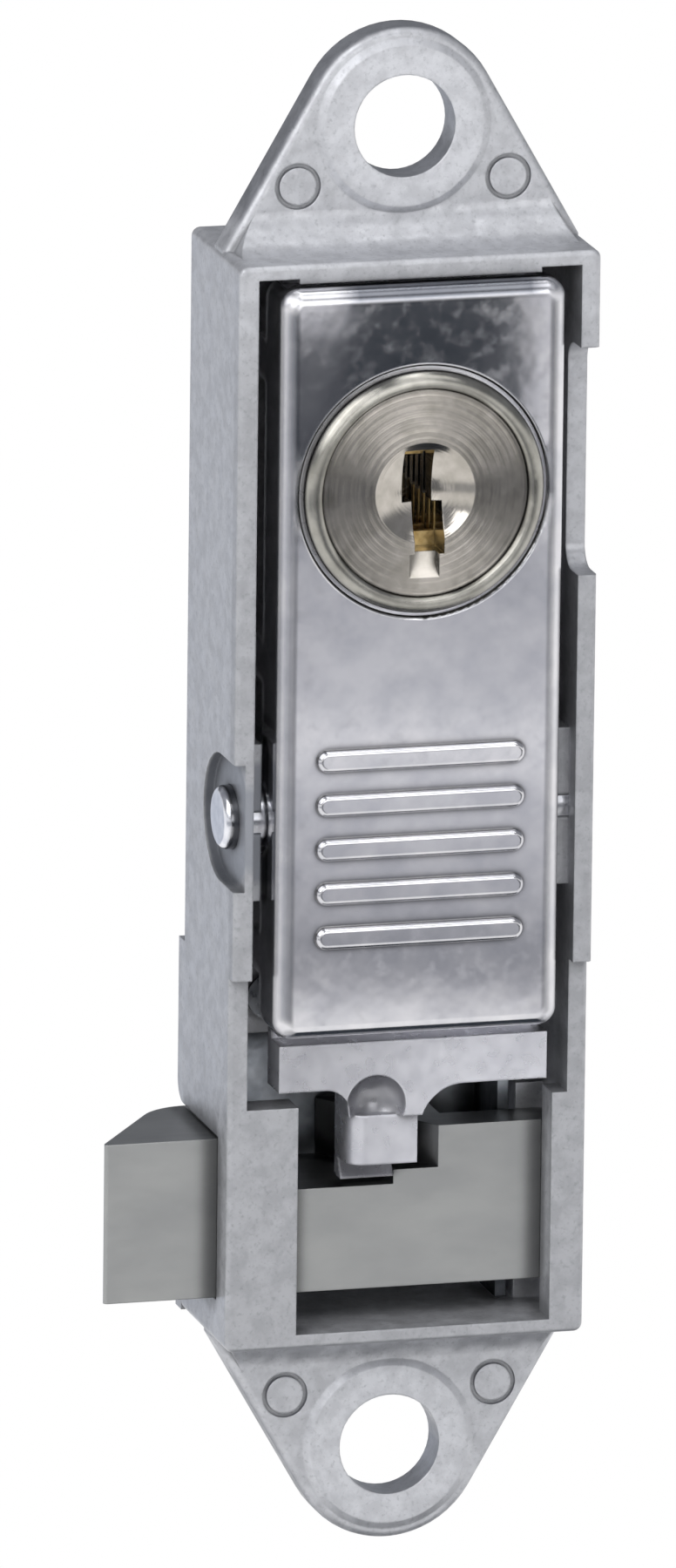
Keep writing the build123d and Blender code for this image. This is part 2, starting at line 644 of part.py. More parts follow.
# Pivot pin: right across the housing, its rounded ends a little proud
with BuildPart() as pivot_pin:
    with BuildSketch(side_plane(-HALF_WIDTH - PIN_PROUD)):
        with Locations((PIVOT_DEPTH, PIVOT_Z)):
            Circle(PIN_DIAMETER / 2)
    extrude(amount=BODY_WIDTH + 2 * PIN_PROUD)
    fillet(pivot_pin.edges().filter_by(GeomType.CIRCLE), radius=PIN_END_RADIUS)
pivot_pin.part.label = "pivot_pin"
export_step(pivot_pin.part, "parts/pivot_pin.step")

# Handle body: a cast channel under the cover, with its tail and finger below
torsion_radius = TORSION_DIAMETER / 2
torsion_end_x = TORSION_START_X + TORSION_PITCH * (TORSION_TURNS + 0.5)
torsion_leg_drift = TORSION_FRONT_LEG * TORSION_PITCH / (math.pi * TORSION_DIAMETER)
leg_floor_depth = PIVOT_DEPTH - torsion_radius - TORSION_WIRE / 2 - SEAT_FIT
with BuildPart() as handle_body:
    handle_bottom_z = COVER_BOTTOM_Z + COVER_SHEET + SEAT_FIT
    handle_top_z = COVER_TOP_Z - COVER_SHEET - SEAT_FIT
    with BuildSketch(front_plane(SHEET_BACK_DEPTH)):
        span(-HANDLE_HALF, HANDLE_HALF, handle_bottom_z, handle_top_z)
    extrude(amount=-HANDLE_WEB)
    with BuildSketch(front_plane(SHEET_BACK_DEPTH)):
        span(-HANDLE_HALF, HANDLE_HALF, handle_bottom_z, handle_top_z)
        span(
            HANDLE_RAIL - HANDLE_HALF,
            HANDLE_HALF - HANDLE_RAIL,
            handle_bottom_z + HANDLE_RAIL,
            handle_top_z - HANDLE_RAIL,
            mode=Mode.SUBTRACT,
        )
    extrude(amount=-HANDLE_RAIL_DEPTH)
    for side in (1, -1):
        with BuildSketch(side_plane(side * HANDLE_HALF)):
            with Locations((PIVOT_DEPTH, PIVOT_Z)):
                Circle(PIVOT_EYE_RADIUS)
        extrude(amount=-side * HANDLE_RAIL)
    with BuildSketch(front_plane(SHEET_BACK_DEPTH)):
        with Locations((0, CYLINDER_Z)):
            Circle(HANDLE_BOSS_RADIUS)
    extrude(amount=-HANDLE_BOSS_DEPTH)
    # Tail: a band under the cover's end, and the finger that works the bolt
    with BuildSketch(front_plane(TAIL_DEPTH)) as tail_outline:
        band_top_z = COVER_BOTTOM_Z - SLIDE_FIT
        span(TAIL_LEFT_X, TAIL_RIGHT_X, TAIL_BOTTOM_Z, band_top_z)
        span(FINGER_LEFT_X, FINGER_RIGHT_X, FINGER_BOTTOM_Z, band_top_z)
        for edge_x, radius in (
            (FINGER_LEFT_X, LEFT_FILLET_RADIUS),
            (FINGER_RIGHT_X, RIGHT_FILLET_RADIUS),
        ):
            roots = tail_outline.vertices().filter_by_position(
                Axis.Y, TAIL_BOTTOM_Z - SLIDE_FIT, TAIL_BOTTOM_Z + SLIDE_FIT
            )
            fillet(roots.sort_by_distance((edge_x, TAIL_BOTTOM_Z, 0))[0], radius=radius)
        span(-HANDLE_HALF, HANDLE_HALF, band_top_z, handle_bottom_z + HANDLE_RAIL)
    extrude(amount=-TAIL_THICKNESS)
    finger_thickness = FINGER_REAR_DEPTH - TAIL_DEPTH
    with BuildSketch(front_plane(TAIL_DEPTH)):
        span(FINGER_LEFT_X, FINGER_RIGHT_X, FINGER_BOTTOM_Z, TAIL_BOTTOM_Z)
    extrude(amount=-finger_thickness)
    scoop_ball = (SCOOP_RADIUS**2 + SCOOP_DEPTH**2) / (2 * SCOOP_DEPTH)
    with Locations((SCOOP_X, TAIL_DEPTH + SCOOP_DEPTH - scoop_ball - SEAT_SETBACK, SCOOP_Z)):
        Sphere(scoop_ball, mode=Mode.SUBTRACT)
    with BuildSketch(front_plane(TAIL_DEPTH)):
        span(TAIL_LEFT_X, TAIL_RIGHT_X, FINGER_BOTTOM_Z, FINGER_TAB_TOP_Z)
    extrude(amount=-finger_thickness, mode=Mode.SUBTRACT)
    with BuildSketch(level_plane(FINGER_BOTTOM_Z)) as finger_section:
        span(FINGER_LEFT_X, FINGER_RIGHT_X, TAIL_DEPTH + FINGER_TAB_SETBACK, FINGER_REAR_DEPTH)
        left_corner, right_corner = finger_section.vertices().sort_by(Axis.Y)[:2].sort_by(Axis.X)
        fillet(left_corner, radius=FINGER_LEFT_EDGE)
        fillet(right_corner, radius=FINGER_RIGHT_EDGE)
    extrude(amount=FINGER_TAB_TOP_Z - FINGER_BOTTOM_Z)
    with BuildSketch(side_plane(FINGER_LEFT_X)):
        with BuildLine():
            Polyline(
                (FINGER_REAR_DEPTH, FINGER_BOTTOM_Z),
                (FINGER_REAR_DEPTH, FINGER_BOTTOM_Z - TONGUE_DROP),
                (FINGER_REAR_DEPTH - TONGUE_THICKNESS, FINGER_BOTTOM_Z - TONGUE_DROP),
                (FINGER_REAR_DEPTH - TONGUE_THICKNESS + TONGUE_LEAN, FINGER_BOTTOM_Z),
                close=True,
            )
        make_face()
    extrude(amount=TONGUE_RIGHT_X - FINGER_LEFT_X)
    with BuildSketch(front_plane(TAIL_DEPTH)):
        span(TAIL_LEFT_X, TAIL_RIGHT_X, band_top_z - TAIL_SLOT, band_top_z)
    extrude(amount=-TAIL_SLOT_DEPTH, mode=Mode.SUBTRACT)
    # Bore for the cylinder, the pin's holes, and room in the web for the handle's spring
    with BuildSketch(front_plane(SHEET_BACK_DEPTH)):
        with Locations((0, CYLINDER_Z)):
            Circle(BARREL_DIAMETER / 2 + TURN_FIT)
            Rectangle(
                BARREL_FLATS + 2 * TURN_FIT,
                2 * BARREL_DIAMETER,
                mode=Mode.INTERSECT,
            )
    extrude(amount=-HANDLE_BOSS_DEPTH, mode=Mode.SUBTRACT)
    with BuildSketch(side_plane(-HANDLE_HALF)):
        with Locations((PIVOT_DEPTH, PIVOT_Z)):
            Circle(PIN_DIAMETER / 2 + TURN_FIT)
    extrude(amount=2 * HANDLE_HALF, mode=Mode.SUBTRACT)
    coil_half = torsion_radius + TORSION_WIRE / 2 + SPRING_POCKET_GAP
    with BuildSketch(side_plane(-SPRING_POCKET_WIDTH / 2)):
        span(PIVOT_DEPTH - coil_half, BODY_DEPTH, PIVOT_Z - coil_half, PIVOT_Z + coil_half)
    extrude(amount=SPRING_POCKET_WIDTH, mode=Mode.SUBTRACT)
    with BuildSketch(front_plane(leg_floor_depth)):
        span(
            torsion_end_x - TORSION_WIRE,
            torsion_end_x + torsion_leg_drift + TORSION_WIRE,
            PIVOT_Z - TORSION_FRONT_LEG - TORSION_WIRE,
            PIVOT_Z,
        )
    extrude(amount=-HANDLE_WEB, mode=Mode.SUBTRACT)
handle_body.part.label = "handle_body"
export_step(handle_body.part, "parts/handle_body.step")

# Handle cover: a pressed sheet with rolled edges, plain grip ribs and six crimped tabs
with BuildPart() as handle_cover:
    cover_height = COVER_TOP_Z - COVER_BOTTOM_Z
    cover_centre_z = (COVER_TOP_Z + COVER_BOTTOM_Z) / 2
    with BuildSketch(front_plane(-COVER_PROUD)):
        with Locations((0, cover_centre_z)):
            RectangleRounded(COVER_WIDTH, cover_height, COVER_CORNER_RADIUS)
    extrude(amount=-COVER_FLANGE_DEPTH)
    fillet(handle_cover.faces().sort_by(Axis.Y)[0].edges(), radius=COVER_EDGE_RADIUS)
    with BuildSketch(front_plane(SHEET_BACK_DEPTH)):
        with Locations((0, cover_centre_z)):
            Rectangle(COVER_WIDTH - 2 * COVER_SHEET, cover_height - 2 * COVER_SHEET)
    extrude(amount=-COVER_FLANGE_DEPTH, mode=Mode.SUBTRACT)
    with BuildSketch(front_plane(COVER_END_FLANGE - COVER_PROUD)):
        with Locations((0, cover_centre_z)):
            Rectangle(COVER_WIDTH - 2 * COVER_SHEET, 2 * cover_height)
    extrude(amount=-COVER_FLANGE_DEPTH, mode=Mode.SUBTRACT)
    with BuildSketch(front_plane(-COVER_PROUD)):
        with Locations((0, CYLINDER_Z)):
            Circle(HEAD_DIAMETER / 2 + COVER_HOLE_GAP)
    extrude(amount=-COVER_SHEET, mode=Mode.SUBTRACT)
    front_arcs = handle_cover.faces().sort_by(Axis.Y)[0].edges().filter_by(GeomType.CIRCLE)
    fillet(front_arcs.sort_by(SortBy.RADIUS)[-1], radius=COVER_HOLE_EDGE)
    with BuildSketch(side_plane(-COVER_HALF)):
        with Locations((PIVOT_DEPTH, PIVOT_Z)):
            Circle(PIN_DIAMETER / 2 + SWEEP_GAP)
    extrude(amount=COVER_WIDTH, mode=Mode.SUBTRACT)
    for z in TAB_HEIGHTS:
        for side in (1, -1):
            tab_back = RAIL_BACK_DEPTH + TURN_FIT + COVER_SHEET
            flange_end = COVER_FLANGE_DEPTH - COVER_PROUD
            with BuildSketch(level_plane(z - TAB_WIDTH / 2)):
                with BuildLine():
                    Polyline(
                        (side * COVER_HALF, flange_end),
                        (side * COVER_HALF, tab_back),
                        (side * (COVER_HALF - TAB_REACH), tab_back),
                        (side * (COVER_HALF - TAB_REACH), tab_back - COVER_SHEET),
                        (side * (COVER_HALF - COVER_SHEET), tab_back - COVER_SHEET),
                        (side * (COVER_HALF - COVER_SHEET), flange_end),
                        close=True,
                    )
                make_face()
            extrude(amount=TAB_WIDTH)
    with BuildSketch(front_plane(-COVER_PROUD)):
        with Locations((0, RIB_CENTRE_Z)):
            with GridLocations(0, RIB_PITCH, 1, RIB_COUNT):
                SlotOverall(RIB_LENGTH, RIB_WIDTH)
    extrude(amount=RIB_RISE)
    fillet(handle_cover.faces().group_by(Axis.Y)[0].edges(), radius=RIB_EDGE)
handle_cover.part.label = "handle_cover"
export_step(handle_cover.part, "parts/handle_cover.step")

# Handle spring: wound on the pivot pin, one leg behind the web and one on the floor
rear_leg_start = 90 + TORSION_REAR_LEG_ANGLE
with BuildPart() as handle_spring:
    with BuildLine():
        start, start_way, end, end_way = add_coil(
            PIVOT_DEPTH,
            PIVOT_Z,
            TORSION_START_X,
            torsion_radius,
            TORSION_PITCH,
            rear_leg_start,
            180 + 360 * TORSION_TURNS,
        )
        leg_run = FLOOR_DEPTH - TORSION_WIRE - (start.Y + SEAT_SETBACK)
        leg_end = start - start_way * (leg_run / -start_way.Y)
        Line(leg_end, start)
        Line(end, end + end_way * TORSION_FRONT_LEG)
    with BuildSketch(Plane(origin=leg_end, z_dir=start_way)):
        Circle(TORSION_WIRE / 2)
    sweep()
handle_spring.part.label = "handle_spring"
export_step(handle_spring.part, "parts/handle_spring.step")
print("handle spring gap between turns", round(TORSION_PITCH - TORSION_WIRE, 2))


# Key cylinder: its shell, with a bevelled head and a barrel with two flats
def barrel_outline(shrink=0):
    """Draws the barrel's section: a circle with two flats."""
    with Locations((0, CYLINDER_Z)):
        Circle(BARREL_DIAMETER / 2 - shrink)
        Rectangle(BARREL_FLATS - 2 * shrink, 2 * BARREL_DIAMETER, mode=Mode.INTERSECT)


clip_front_depth = BOSS_BACK_DEPTH + TURN_FIT
with BuildPart() as cylinder_shell:
    with BuildSketch(front_plane(-CYLINDER_PROUD)):
        with Locations((0, CYLINDER_Z)):
            Circle(HEAD_DIAMETER / 2)
    extrude(amount=-CYLINDER_PROUD - SHEET_BACK_DEPTH)
    fillet(cylinder_shell.faces().sort_by(Axis.Y)[0].edges(), radius=HEAD_EDGE)
    with BuildSketch(front_plane(SHEET_BACK_DEPTH)):
        barrel_outline()
    extrude(amount=SHEET_BACK_DEPTH - BARREL_END_DEPTH)
    with BuildSketch(front_plane(-CYLINDER_PROUD)):
        with Locations((0, CYLINDER_Z)):
            Circle(FACE_DIAMETER / 2)
    extrude(amount=-FACE_RECESS, mode=Mode.SUBTRACT)
    rim_edges = cylinder_shell.faces().sort_by(Axis.Y)[0].edges()
    fillet(rim_edges.sort_by(SortBy.RADIUS)[0], radius=HEAD_INNER_EDGE)
    with BuildSketch(front_plane(-CYLINDER_PROUD)):
        with Locations((0, CYLINDER_Z)):
            Circle(PLUG_DIAMETER / 2)
    extrude(amount=-CYLINDER_PROUD - BARREL_END_DEPTH, mode=Mode.SUBTRACT)
    with BuildSketch(front_plane(clip_front_depth - PIN_FIT)):
        slot_half = CLIP_SLOT / 2
        for side in (1, -1):
            low_x, high_x = sorted((side * slot_half, side * BARREL_DIAMETER))
            span(low_x, high_x, CYLINDER_Z - BARREL_DIAMETER, CYLINDER_Z + BARREL_DIAMETER)
    extrude(amount=-CLIP_THICKNESS - 2 * PIN_FIT, mode=Mode.SUBTRACT)
cylinder_shell.part.label = "cylinder_shell"
export_step(cylinder_shell.part, "parts/cylinder_shell.step")

# Plug: turns in the shell, with a dished face, a stepped keyway and slots for the wafers
face_depth = PLUG_FACE_SETBACK - CYLINDER_PROUD
dish_radius = (DISH_DIAMETER**2 / 4 + DISH_DEPTH**2) / (2 * DISH_DEPTH)
last_wafer_depth = KEYWAY_END_DEPTH - WAFER_END_GAP - WAFER_THICKNESS
wafer_pitch = (last_wafer_depth - WAFER_FIRST_DEPTH) / (WAFER_COUNT - 1)
wafer_depths = [WAFER_FIRST_DEPTH + wafer_pitch * i for i in range(WAFER_COUNT)]
with BuildPart() as plug:
    with BuildSketch(front_plane(face_depth)):
        with Locations((0, CYLINDER_Z)):
            Circle(FACE_DIAMETER / 2 - TURN_FIT)
    extrude(amount=PLUG_FACE_SETBACK - FACE_RECESS)
    with BuildSketch(front_plane(face_depth)):
        with Locations((0, CYLINDER_Z)):
            Circle(PLUG_DIAMETER / 2 - TURN_FIT)
    extrude(amount=face_depth - PLUG_SHOULDER_DEPTH)
    with BuildSketch(front_plane(PLUG_SHOULDER_DEPTH)):
        with Locations((0, CYLINDER_Z)):
            Circle(PLUG_TAIL_DIAMETER / 2)
            Rectangle(PLUG_TAIL_FLATS, PLUG_TAIL_DIAMETER, mode=Mode.INTERSECT)
    extrude(amount=TURN_FIT - CAM_THICKNESS)
    with Locations((0, face_depth - SEAT_SETBACK - dish_radius + DISH_DEPTH, CYLINDER_Z)):
        Sphere(dish_radius, mode=Mode.SUBTRACT)
    with BuildSketch(front_plane(-CYLINDER_PROUD)):
        half = KEYWAY_WIDTH / 2
        step_z = CYLINDER_Z + KEYWAY_STEP
        span(-KEYWAY_OFFSET - half, half - KEYWAY_OFFSET, step_z, CYLINDER_Z + KEYWAY_TOP)
        span(KEYWAY_OFFSET - half, half + KEYWAY_OFFSET, CYLINDER_Z + KEYWAY_BOTTOM, step_z)
    extrude(amount=-CYLINDER_PROUD - KEYWAY_END_DEPTH, mode=Mode.SUBTRACT)
    with BuildSketch(side_plane(-KEYWAY_FOOT_WIDTH / 2)):
        foot_z = CYLINDER_Z + KEYWAY_BOTTOM
        with BuildLine():
            Polyline(
                (face_depth, foot_z - KEYWAY_FOOT),
                (face_depth, foot_z),
                (face_depth + KEYWAY_FOOT_DEPTH, foot_z),
                close=True,
            )
        make_face()
    extrude(amount=KEYWAY_FOOT_WIDTH, mode=Mode.SUBTRACT)
    for depth in wafer_depths:
        with BuildSketch(front_plane(depth)):
            with Locations((0, CYLINDER_Z)):
                Rectangle(WAFER_WIDTH + WAFER_SLOT_PLAY, PLUG_DIAMETER)
        extrude(amount=-WAFER_THICKNESS - WAFER_SLOT_PLAY, mode=Mode.SUBTRACT)
    with BuildSketch(front_plane(CAM_BACK_DEPTH)):
        with Locations((0, CYLINDER_Z)):
            Circle(SCREW_DIAMETER / 2 + PIN_FIT)
    extrude(amount=SCREW_LENGTH - WASHER_THICKNESS + PIN_FIT, mode=Mode.SUBTRACT)
plug.part.label = "plug"
export_step(plug.part, "parts/plug.step")

# Wafers: five brass plates across the plug, drawn in as a key holds them
for i, (depth, cut) in enumerate(zip(wafer_depths, WAFER_CUTS), start=1):
    with BuildPart() as wafer:
        with BuildSketch(front_plane(depth + WAFER_SLOT_PLAY / 2)):
            with Locations((0, CYLINDER_Z)):
                Circle(PLUG_DIAMETER / 2 - SLIDE_FIT)
                Rectangle(WAFER_WIDTH, PLUG_DIAMETER, mode=Mode.INTERSECT)
            with Locations((0, CYLINDER_Z + KEYWAY_STEP + cut)):
                Rectangle(WAFER_WINDOW_WIDTH, WAFER_WINDOW_HEIGHT, mode=Mode.SUBTRACT)
        extrude(amount=-WAFER_THICKNESS)
    wafer.part.label = f"wafer_{i}"
    export_step(wafer.part, f"parts/wafer_{i}.step")

# Cylinder clip: a horseshoe that holds the shell against the handle body
with BuildPart() as cylinder_clip:
    with BuildSketch(front_plane(clip_front_depth)):
        bridge_z = CYLINDER_Z + BARREL_DIAMETER / 2 + SLIDE_FIT
        span(-CLIP_WIDTH / 2, CLIP_WIDTH / 2, CYLINDER_Z - CLIP_BELOW, bridge_z + CLIP_BRIDGE)
        span(
            -CLIP_SLOT / 2 - PIN_FIT,
            CLIP_SLOT / 2 + PIN_FIT,
            CYLINDER_Z - CLIP_BELOW,
            bridge_z,
            mode=Mode.SUBTRACT,
        )
    extrude(amount=-CLIP_THICKNESS)
cylinder_clip.part.label = "cylinder_clip"
export_step(cylinder_clip.part, "parts/cylinder_clip.step")

# Locking cam: an arm on the plug's tail that points up when locked
with BuildPart() as lock_cam:
    with BuildSketch(front_plane(PLUG_SHOULDER_DEPTH)):
        with Locations((0, CYLINDER_Z)):
            Circle(CAM_HUB_DIAMETER / 2)
        with Locations((0, CYLINDER_Z + CAM_REACH - CAM_WIDTH / 2)):
            Circle(CAM_WIDTH / 2)
        span(-CAM_WIDTH / 2, CAM_WIDTH / 2, CYLINDER_Z, CYLINDER_Z + CAM_REACH - CAM_WIDTH / 2)
    extrude(amount=-CAM_THICKNESS)
    with BuildSketch(front_plane(PLUG_SHOULDER_DEPTH)):
        with Locations((0, CYLINDER_Z)):
            Circle(PLUG_TAIL_DIAMETER / 2 + PIN_FIT)
            Rectangle(
                PLUG_TAIL_FLATS + 2 * PIN_FIT,
                2 * PLUG_TAIL_DIAMETER,
                mode=Mode.INTERSECT,
            )
    extrude(amount=-CAM_THICKNESS, mode=Mode.SUBTRACT)
lock_cam.part.label = "lock_cam"
export_step(lock_cam.part, "parts/lock_cam.step")

# Washer and screw that hold the cam to the plug
with BuildPart() as cam_washer:
    with BuildSketch(front_plane(CAM_BACK_DEPTH)):
        with Locations((0, CYLINDER_Z)):
            Circle(WASHER_DIAMETER / 2)
            Circle(SCREW_DIAMETER / 2 + SEAT_FIT, mode=Mode.SUBTRACT)
    extrude(amount=-WASHER_THICKNESS)
cam_washer.part.label = "cam_washer"
export_step(cam_washer.part, "parts/cam_washer.step")

with BuildPart() as cam_screw:
    with BuildSketch(front_plane(SCREW_SEAT_DEPTH)):
        with Locations((0, CYLINDER_Z)):
            Circle(SCREW_HEAD_DIAMETER / 2)
    extrude(amount=-SCREW_HEAD_HEIGHT)
    fillet(cam_screw.faces().sort_by(Axis.Y)[-1].edges(), radius=SCREW_HEAD_EDGE)
    with BuildSketch(front_plane(SCREW_SEAT_DEPTH)):
        with Locations((0, CYLINDER_Z)):
            Circle(SCREW_DIAMETER / 2)
    extrude(amount=SCREW_LENGTH)
    with BuildSketch(front_plane(SCREW_SEAT_DEPTH + SCREW_HEAD_HEIGHT)):
        with Locations((0, CYLINDER_Z)):
            Rectangle(SCREW_SLOT_LENGTH, SCREW_SLOT_WIDTH)
            Rectangle(SCREW_SLOT_WIDTH, SCREW_SLOT_LENGTH)
    extrude(amount=SCREW_SLOT_DEPTH, mode=Mode.SUBTRACT)
cam_screw.part.label = "cam_screw"
export_step(cam_screw.part, "parts/cam_screw.step")
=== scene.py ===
# %% [markdown]
# A panel lock, dressed for its picture
#
# The lock is a cast zinc housing with two ears, a paddle handle under a bright pressed cover, a key
# cylinder and a sliding bolt. Its shape comes from the CAD model. This file gives every piece the
# finish of the metal it is made of, sets up a small studio, and points a camera at the front.
#
# Blender works in metres here, so a size in millimetres is divided by a thousand once, by mm().

# %% Load the CAD model
import math

import bpy
from mathutils import Matrix, Vector


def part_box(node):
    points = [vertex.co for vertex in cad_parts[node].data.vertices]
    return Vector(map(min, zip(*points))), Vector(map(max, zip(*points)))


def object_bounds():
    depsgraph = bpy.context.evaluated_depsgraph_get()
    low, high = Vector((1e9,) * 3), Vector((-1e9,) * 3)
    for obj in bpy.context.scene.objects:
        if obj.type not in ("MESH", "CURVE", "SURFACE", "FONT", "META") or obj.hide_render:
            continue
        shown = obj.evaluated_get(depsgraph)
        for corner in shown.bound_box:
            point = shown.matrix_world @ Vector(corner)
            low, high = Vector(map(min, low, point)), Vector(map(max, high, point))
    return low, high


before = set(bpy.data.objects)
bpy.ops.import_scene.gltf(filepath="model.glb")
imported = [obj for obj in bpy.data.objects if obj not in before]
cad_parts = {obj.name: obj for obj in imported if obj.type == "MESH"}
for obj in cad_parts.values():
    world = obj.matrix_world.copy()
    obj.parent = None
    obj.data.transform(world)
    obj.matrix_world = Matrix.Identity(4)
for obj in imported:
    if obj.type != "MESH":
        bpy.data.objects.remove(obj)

cad_low, cad_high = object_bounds()
print("pieces", len(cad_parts), "size in mm", [round(s * 1000, 1) for s in cad_high - cad_low])

# %% [markdown]
# Lengths and colours
#
# A colour is easiest to write as it looks on a screen, with each channel from 0 to 255. Light adds up
# in linear numbers, so tone() turns a screen colour into those before a shader gets it. The numbers in
# linear() are those of the standard curve that every screen follows.

# %% Millimetres and screen colours
def mm(length):
    """A length in millimetres, as metres."""
    return length / 1000


def linear(level):
    """One channel of a screen colour, 0 to 255, as a linear share of full light."""
    share = level / 255
    return share / 12.92 if share <= 0.04045 else ((share + 0.055) / 1.055) ** 2.4


def tone(red, green, blue):
    """A screen colour as the four linear numbers that a colour socket takes."""
    return (linear(red), linear(green), linear(blue), 1.0)


print("mid grey, linear", round(linear(128), 3))

# %% [markdown]
# The camera
#
# The photograph was taken from a little to the left and above, through a long lens: edges that run
# back into the picture hardly come together. So the camera stands 1.6 m away with a very long focal
# length. It looks at a point just left of the housing's middle, because the bolt sticks out there.

# %% Place the camera
VIEW_AZIMUTH = math.radians(-15.69)
VIEW_ELEVATION = math.radians(14.26)
VIEW_ROLL = math.radians(0.7)
VIEW_DISTANCE = mm(1610.6)
FOCAL_LENGTH = 543.2
SENSOR = 36.0
AIM_RIGHT = mm(-5.23)
AIM_UP = mm(1.48)
HOUSING_FRONT = Vector((0, mm(-4.5), 0))

to_camera = Vector(
    (
        math.sin(VIEW_AZIMUTH) * math.cos(VIEW_ELEVATION),
        -math.cos(VIEW_AZIMUTH) * math.cos(VIEW_ELEVATION),
        math.sin(VIEW_ELEVATION),
    )
)
level_right = Vector((math.cos(VIEW_AZIMUTH), math.sin(VIEW_AZIMUTH), 0))
level_up = to_camera.cross(level_right)
picture_right = level_right * math.cos(VIEW_ROLL) + level_up * math.sin(VIEW_ROLL)
picture_up = level_up * math.cos(VIEW_ROLL) - level_right * math.sin(VIEW_ROLL)

camera_place = HOUSING_FRONT + to_camera * VIEW_DISTANCE
target = HOUSING_FRONT + picture_right * AIM_RIGHT + picture_up * AIM_UP
backwards = (camera_place - target).normalized()
rightwards = (picture_right - backwards * picture_right.dot(backwards)).normalized()
upwards = backwards.cross(rightwards)

camera_data = bpy.data.cameras.new("studio_camera")
camera_data.lens = FOCAL_LENGTH
camera_data.sensor_width = SENSOR
camera = bpy.data.objects.new("studio_camera", camera_data)
turn = Matrix((rightwards, upwards, backwards)).transposed()
camera.matrix_world = Matrix.Translation(camera_place) @ turn.to_4x4()
bpy.context.scene.collection.objects.link(camera)
bpy.context.scene.camera = camera
print("camera at", [round(c, 3) for c in camera_place])

# %% [markdown]
# The floor and the room
#
# Bare metal has hardly a colour of its own: it shows what is around it. A level face of this lock
# mirrors the floor before it, a side mirrors the floor behind, and a face that looks up mirrors the
# room. So the floor is white and wide, and the room above it is a quiet grey, which keeps the tops of
# the ledges and of the bolt dark, as they are in the photograph.
#
# The floor is a mix. What the camera, a gloss or a clear piece sees of it is plain white, and for all
# other light it is a matt white board, which still takes the lock's shadow.

# %% White floor
FLOOR_DROP = mm(110)
FLOOR_RADIUS = 6.0
FLOOR_SIDES = 64
PAPER = tone(245, 245, 245)


def lay_floor():
    """A wide white disc under the lock, as a stage and not as a part of it."""
    level = cad_low.z - FLOOR_DROP
    bpy.ops.mesh.primitive_circle_add(
        vertices=FLOOR_SIDES, radius=FLOOR_RADIUS, fill_type="NGON", location=(0, 0, level)
    )
    floor = bpy.context.object
    floor.name = "studio_floor"
    paper = bpy.data.materials.new("white_paper")
    paper.use_nodes = True
    tree = paper.node_tree
    tree.nodes.clear()
    board = tree.nodes.new("ShaderNodeBsdfDiffuse")
    board.inputs["Color"].default_value = PAPER
    white = tree.nodes.new("ShaderNodeEmission")
    rays = tree.nodes.new("ShaderNodeLightPath")
    seen = rays.outputs["Is Camera Ray"]
    for kind in ("Is Glossy Ray", "Is Transmission Ray"):
        either = tree.nodes.new("ShaderNodeMath")
        either.operation = "MAXIMUM"
        tree.links.new(seen, either.inputs[0])
        tree.links.new(rays.outputs[kind], either.inputs[1])
        seen = either.outputs[0]
    mix = tree.nodes.new("ShaderNodeMixShader")
    tree.links.new(seen, mix.inputs["Fac"])
    tree.links.new(board.outputs[0], mix.inputs[1])
    tree.links.new(white.outputs[0], mix.inputs[2])
    surface = tree.nodes.new("ShaderNodeOutputMaterial")
    tree.links.new(mix.outputs[0], surface.inputs["Surface"])
    floor.data.materials.append(paper)
    return floor


studio_floor = lay_floor()
print("floor at", round(studio_floor.location.z * 1000, 1), "mm")

# %% Grey room
ROOM_LOW = tone(255, 255, 255)
ROOM_HIGH = tone(138, 140, 145)
ROOM_TURNS_AT = 0.02
ROOM_TURNED_AT = 0.22


def paint_room():
    """The world: white at the horizon, turning grey a little above it."""
    world = bpy.data.worlds.new("studio_room")
    world.use_nodes = True
    bpy.context.scene.world = world
    tree = world.node_tree
    place = tree.nodes.new("ShaderNodeTexCoord")
    split = tree.nodes.new("ShaderNodeSeparateXYZ")
    tree.links.new(place.outputs["Generated"], split.inputs[0])
    ramp = tree.nodes.new("ShaderNodeValToRGB")
    ramp.color_ramp.interpolation = "EASE"
    ramp.color_ramp.elements[0].position = ROOM_TURNS_AT
    ramp.color_ramp.elements[0].color = ROOM_LOW
    ramp.color_ramp.elements[1].position = ROOM_TURNED_AT
    ramp.color_ramp.elements[1].color = ROOM_HIGH
    tree.links.new(split.outputs["Z"], ramp.inputs["Fac"])
    tree.links.new(ramp.outputs["Color"], tree.nodes["Background"].inputs["Color"])
    return world


print("room", paint_room().name)

# %% [markdown]
# Cards for the metal to mirror
#
# In the photograph the polished cover is dark slate round the cylinder and turns pale below it. That
# is no paint: it mirrors something dark and wide that stood low in front of it. Painted on the sheet,
# the dark patch would stay where it is when the handle swings. So cards are bent round the lock, as a
# photographer would set them, and the metal mirrors them.
#
# A front face seen from this camera looks down and to the right. What it mirrors at the cards'
# distance lies lower, and mirrored() tells where: the cover's sides see the cards at 13 and 18 degrees
# to the right of straight ahead.
#
# A card only shows in reflections. The camera looks through it, and it throws no shadow.

# %% Bent cards
CARD_RADIUS = 300
CARD_STEPS = 24
MIRROR_DROP = 74.8
MIRROR_STRETCH = 1.189


def put_card(card):
    """Sets a card up so that only a gloss sees it."""
    bpy.context.scene.collection.objects.link(card)
    card.visible_camera = False
    card.visible_shadow = False
    card.visible_diffuse = False
    card.visible_transmission = False
    return card


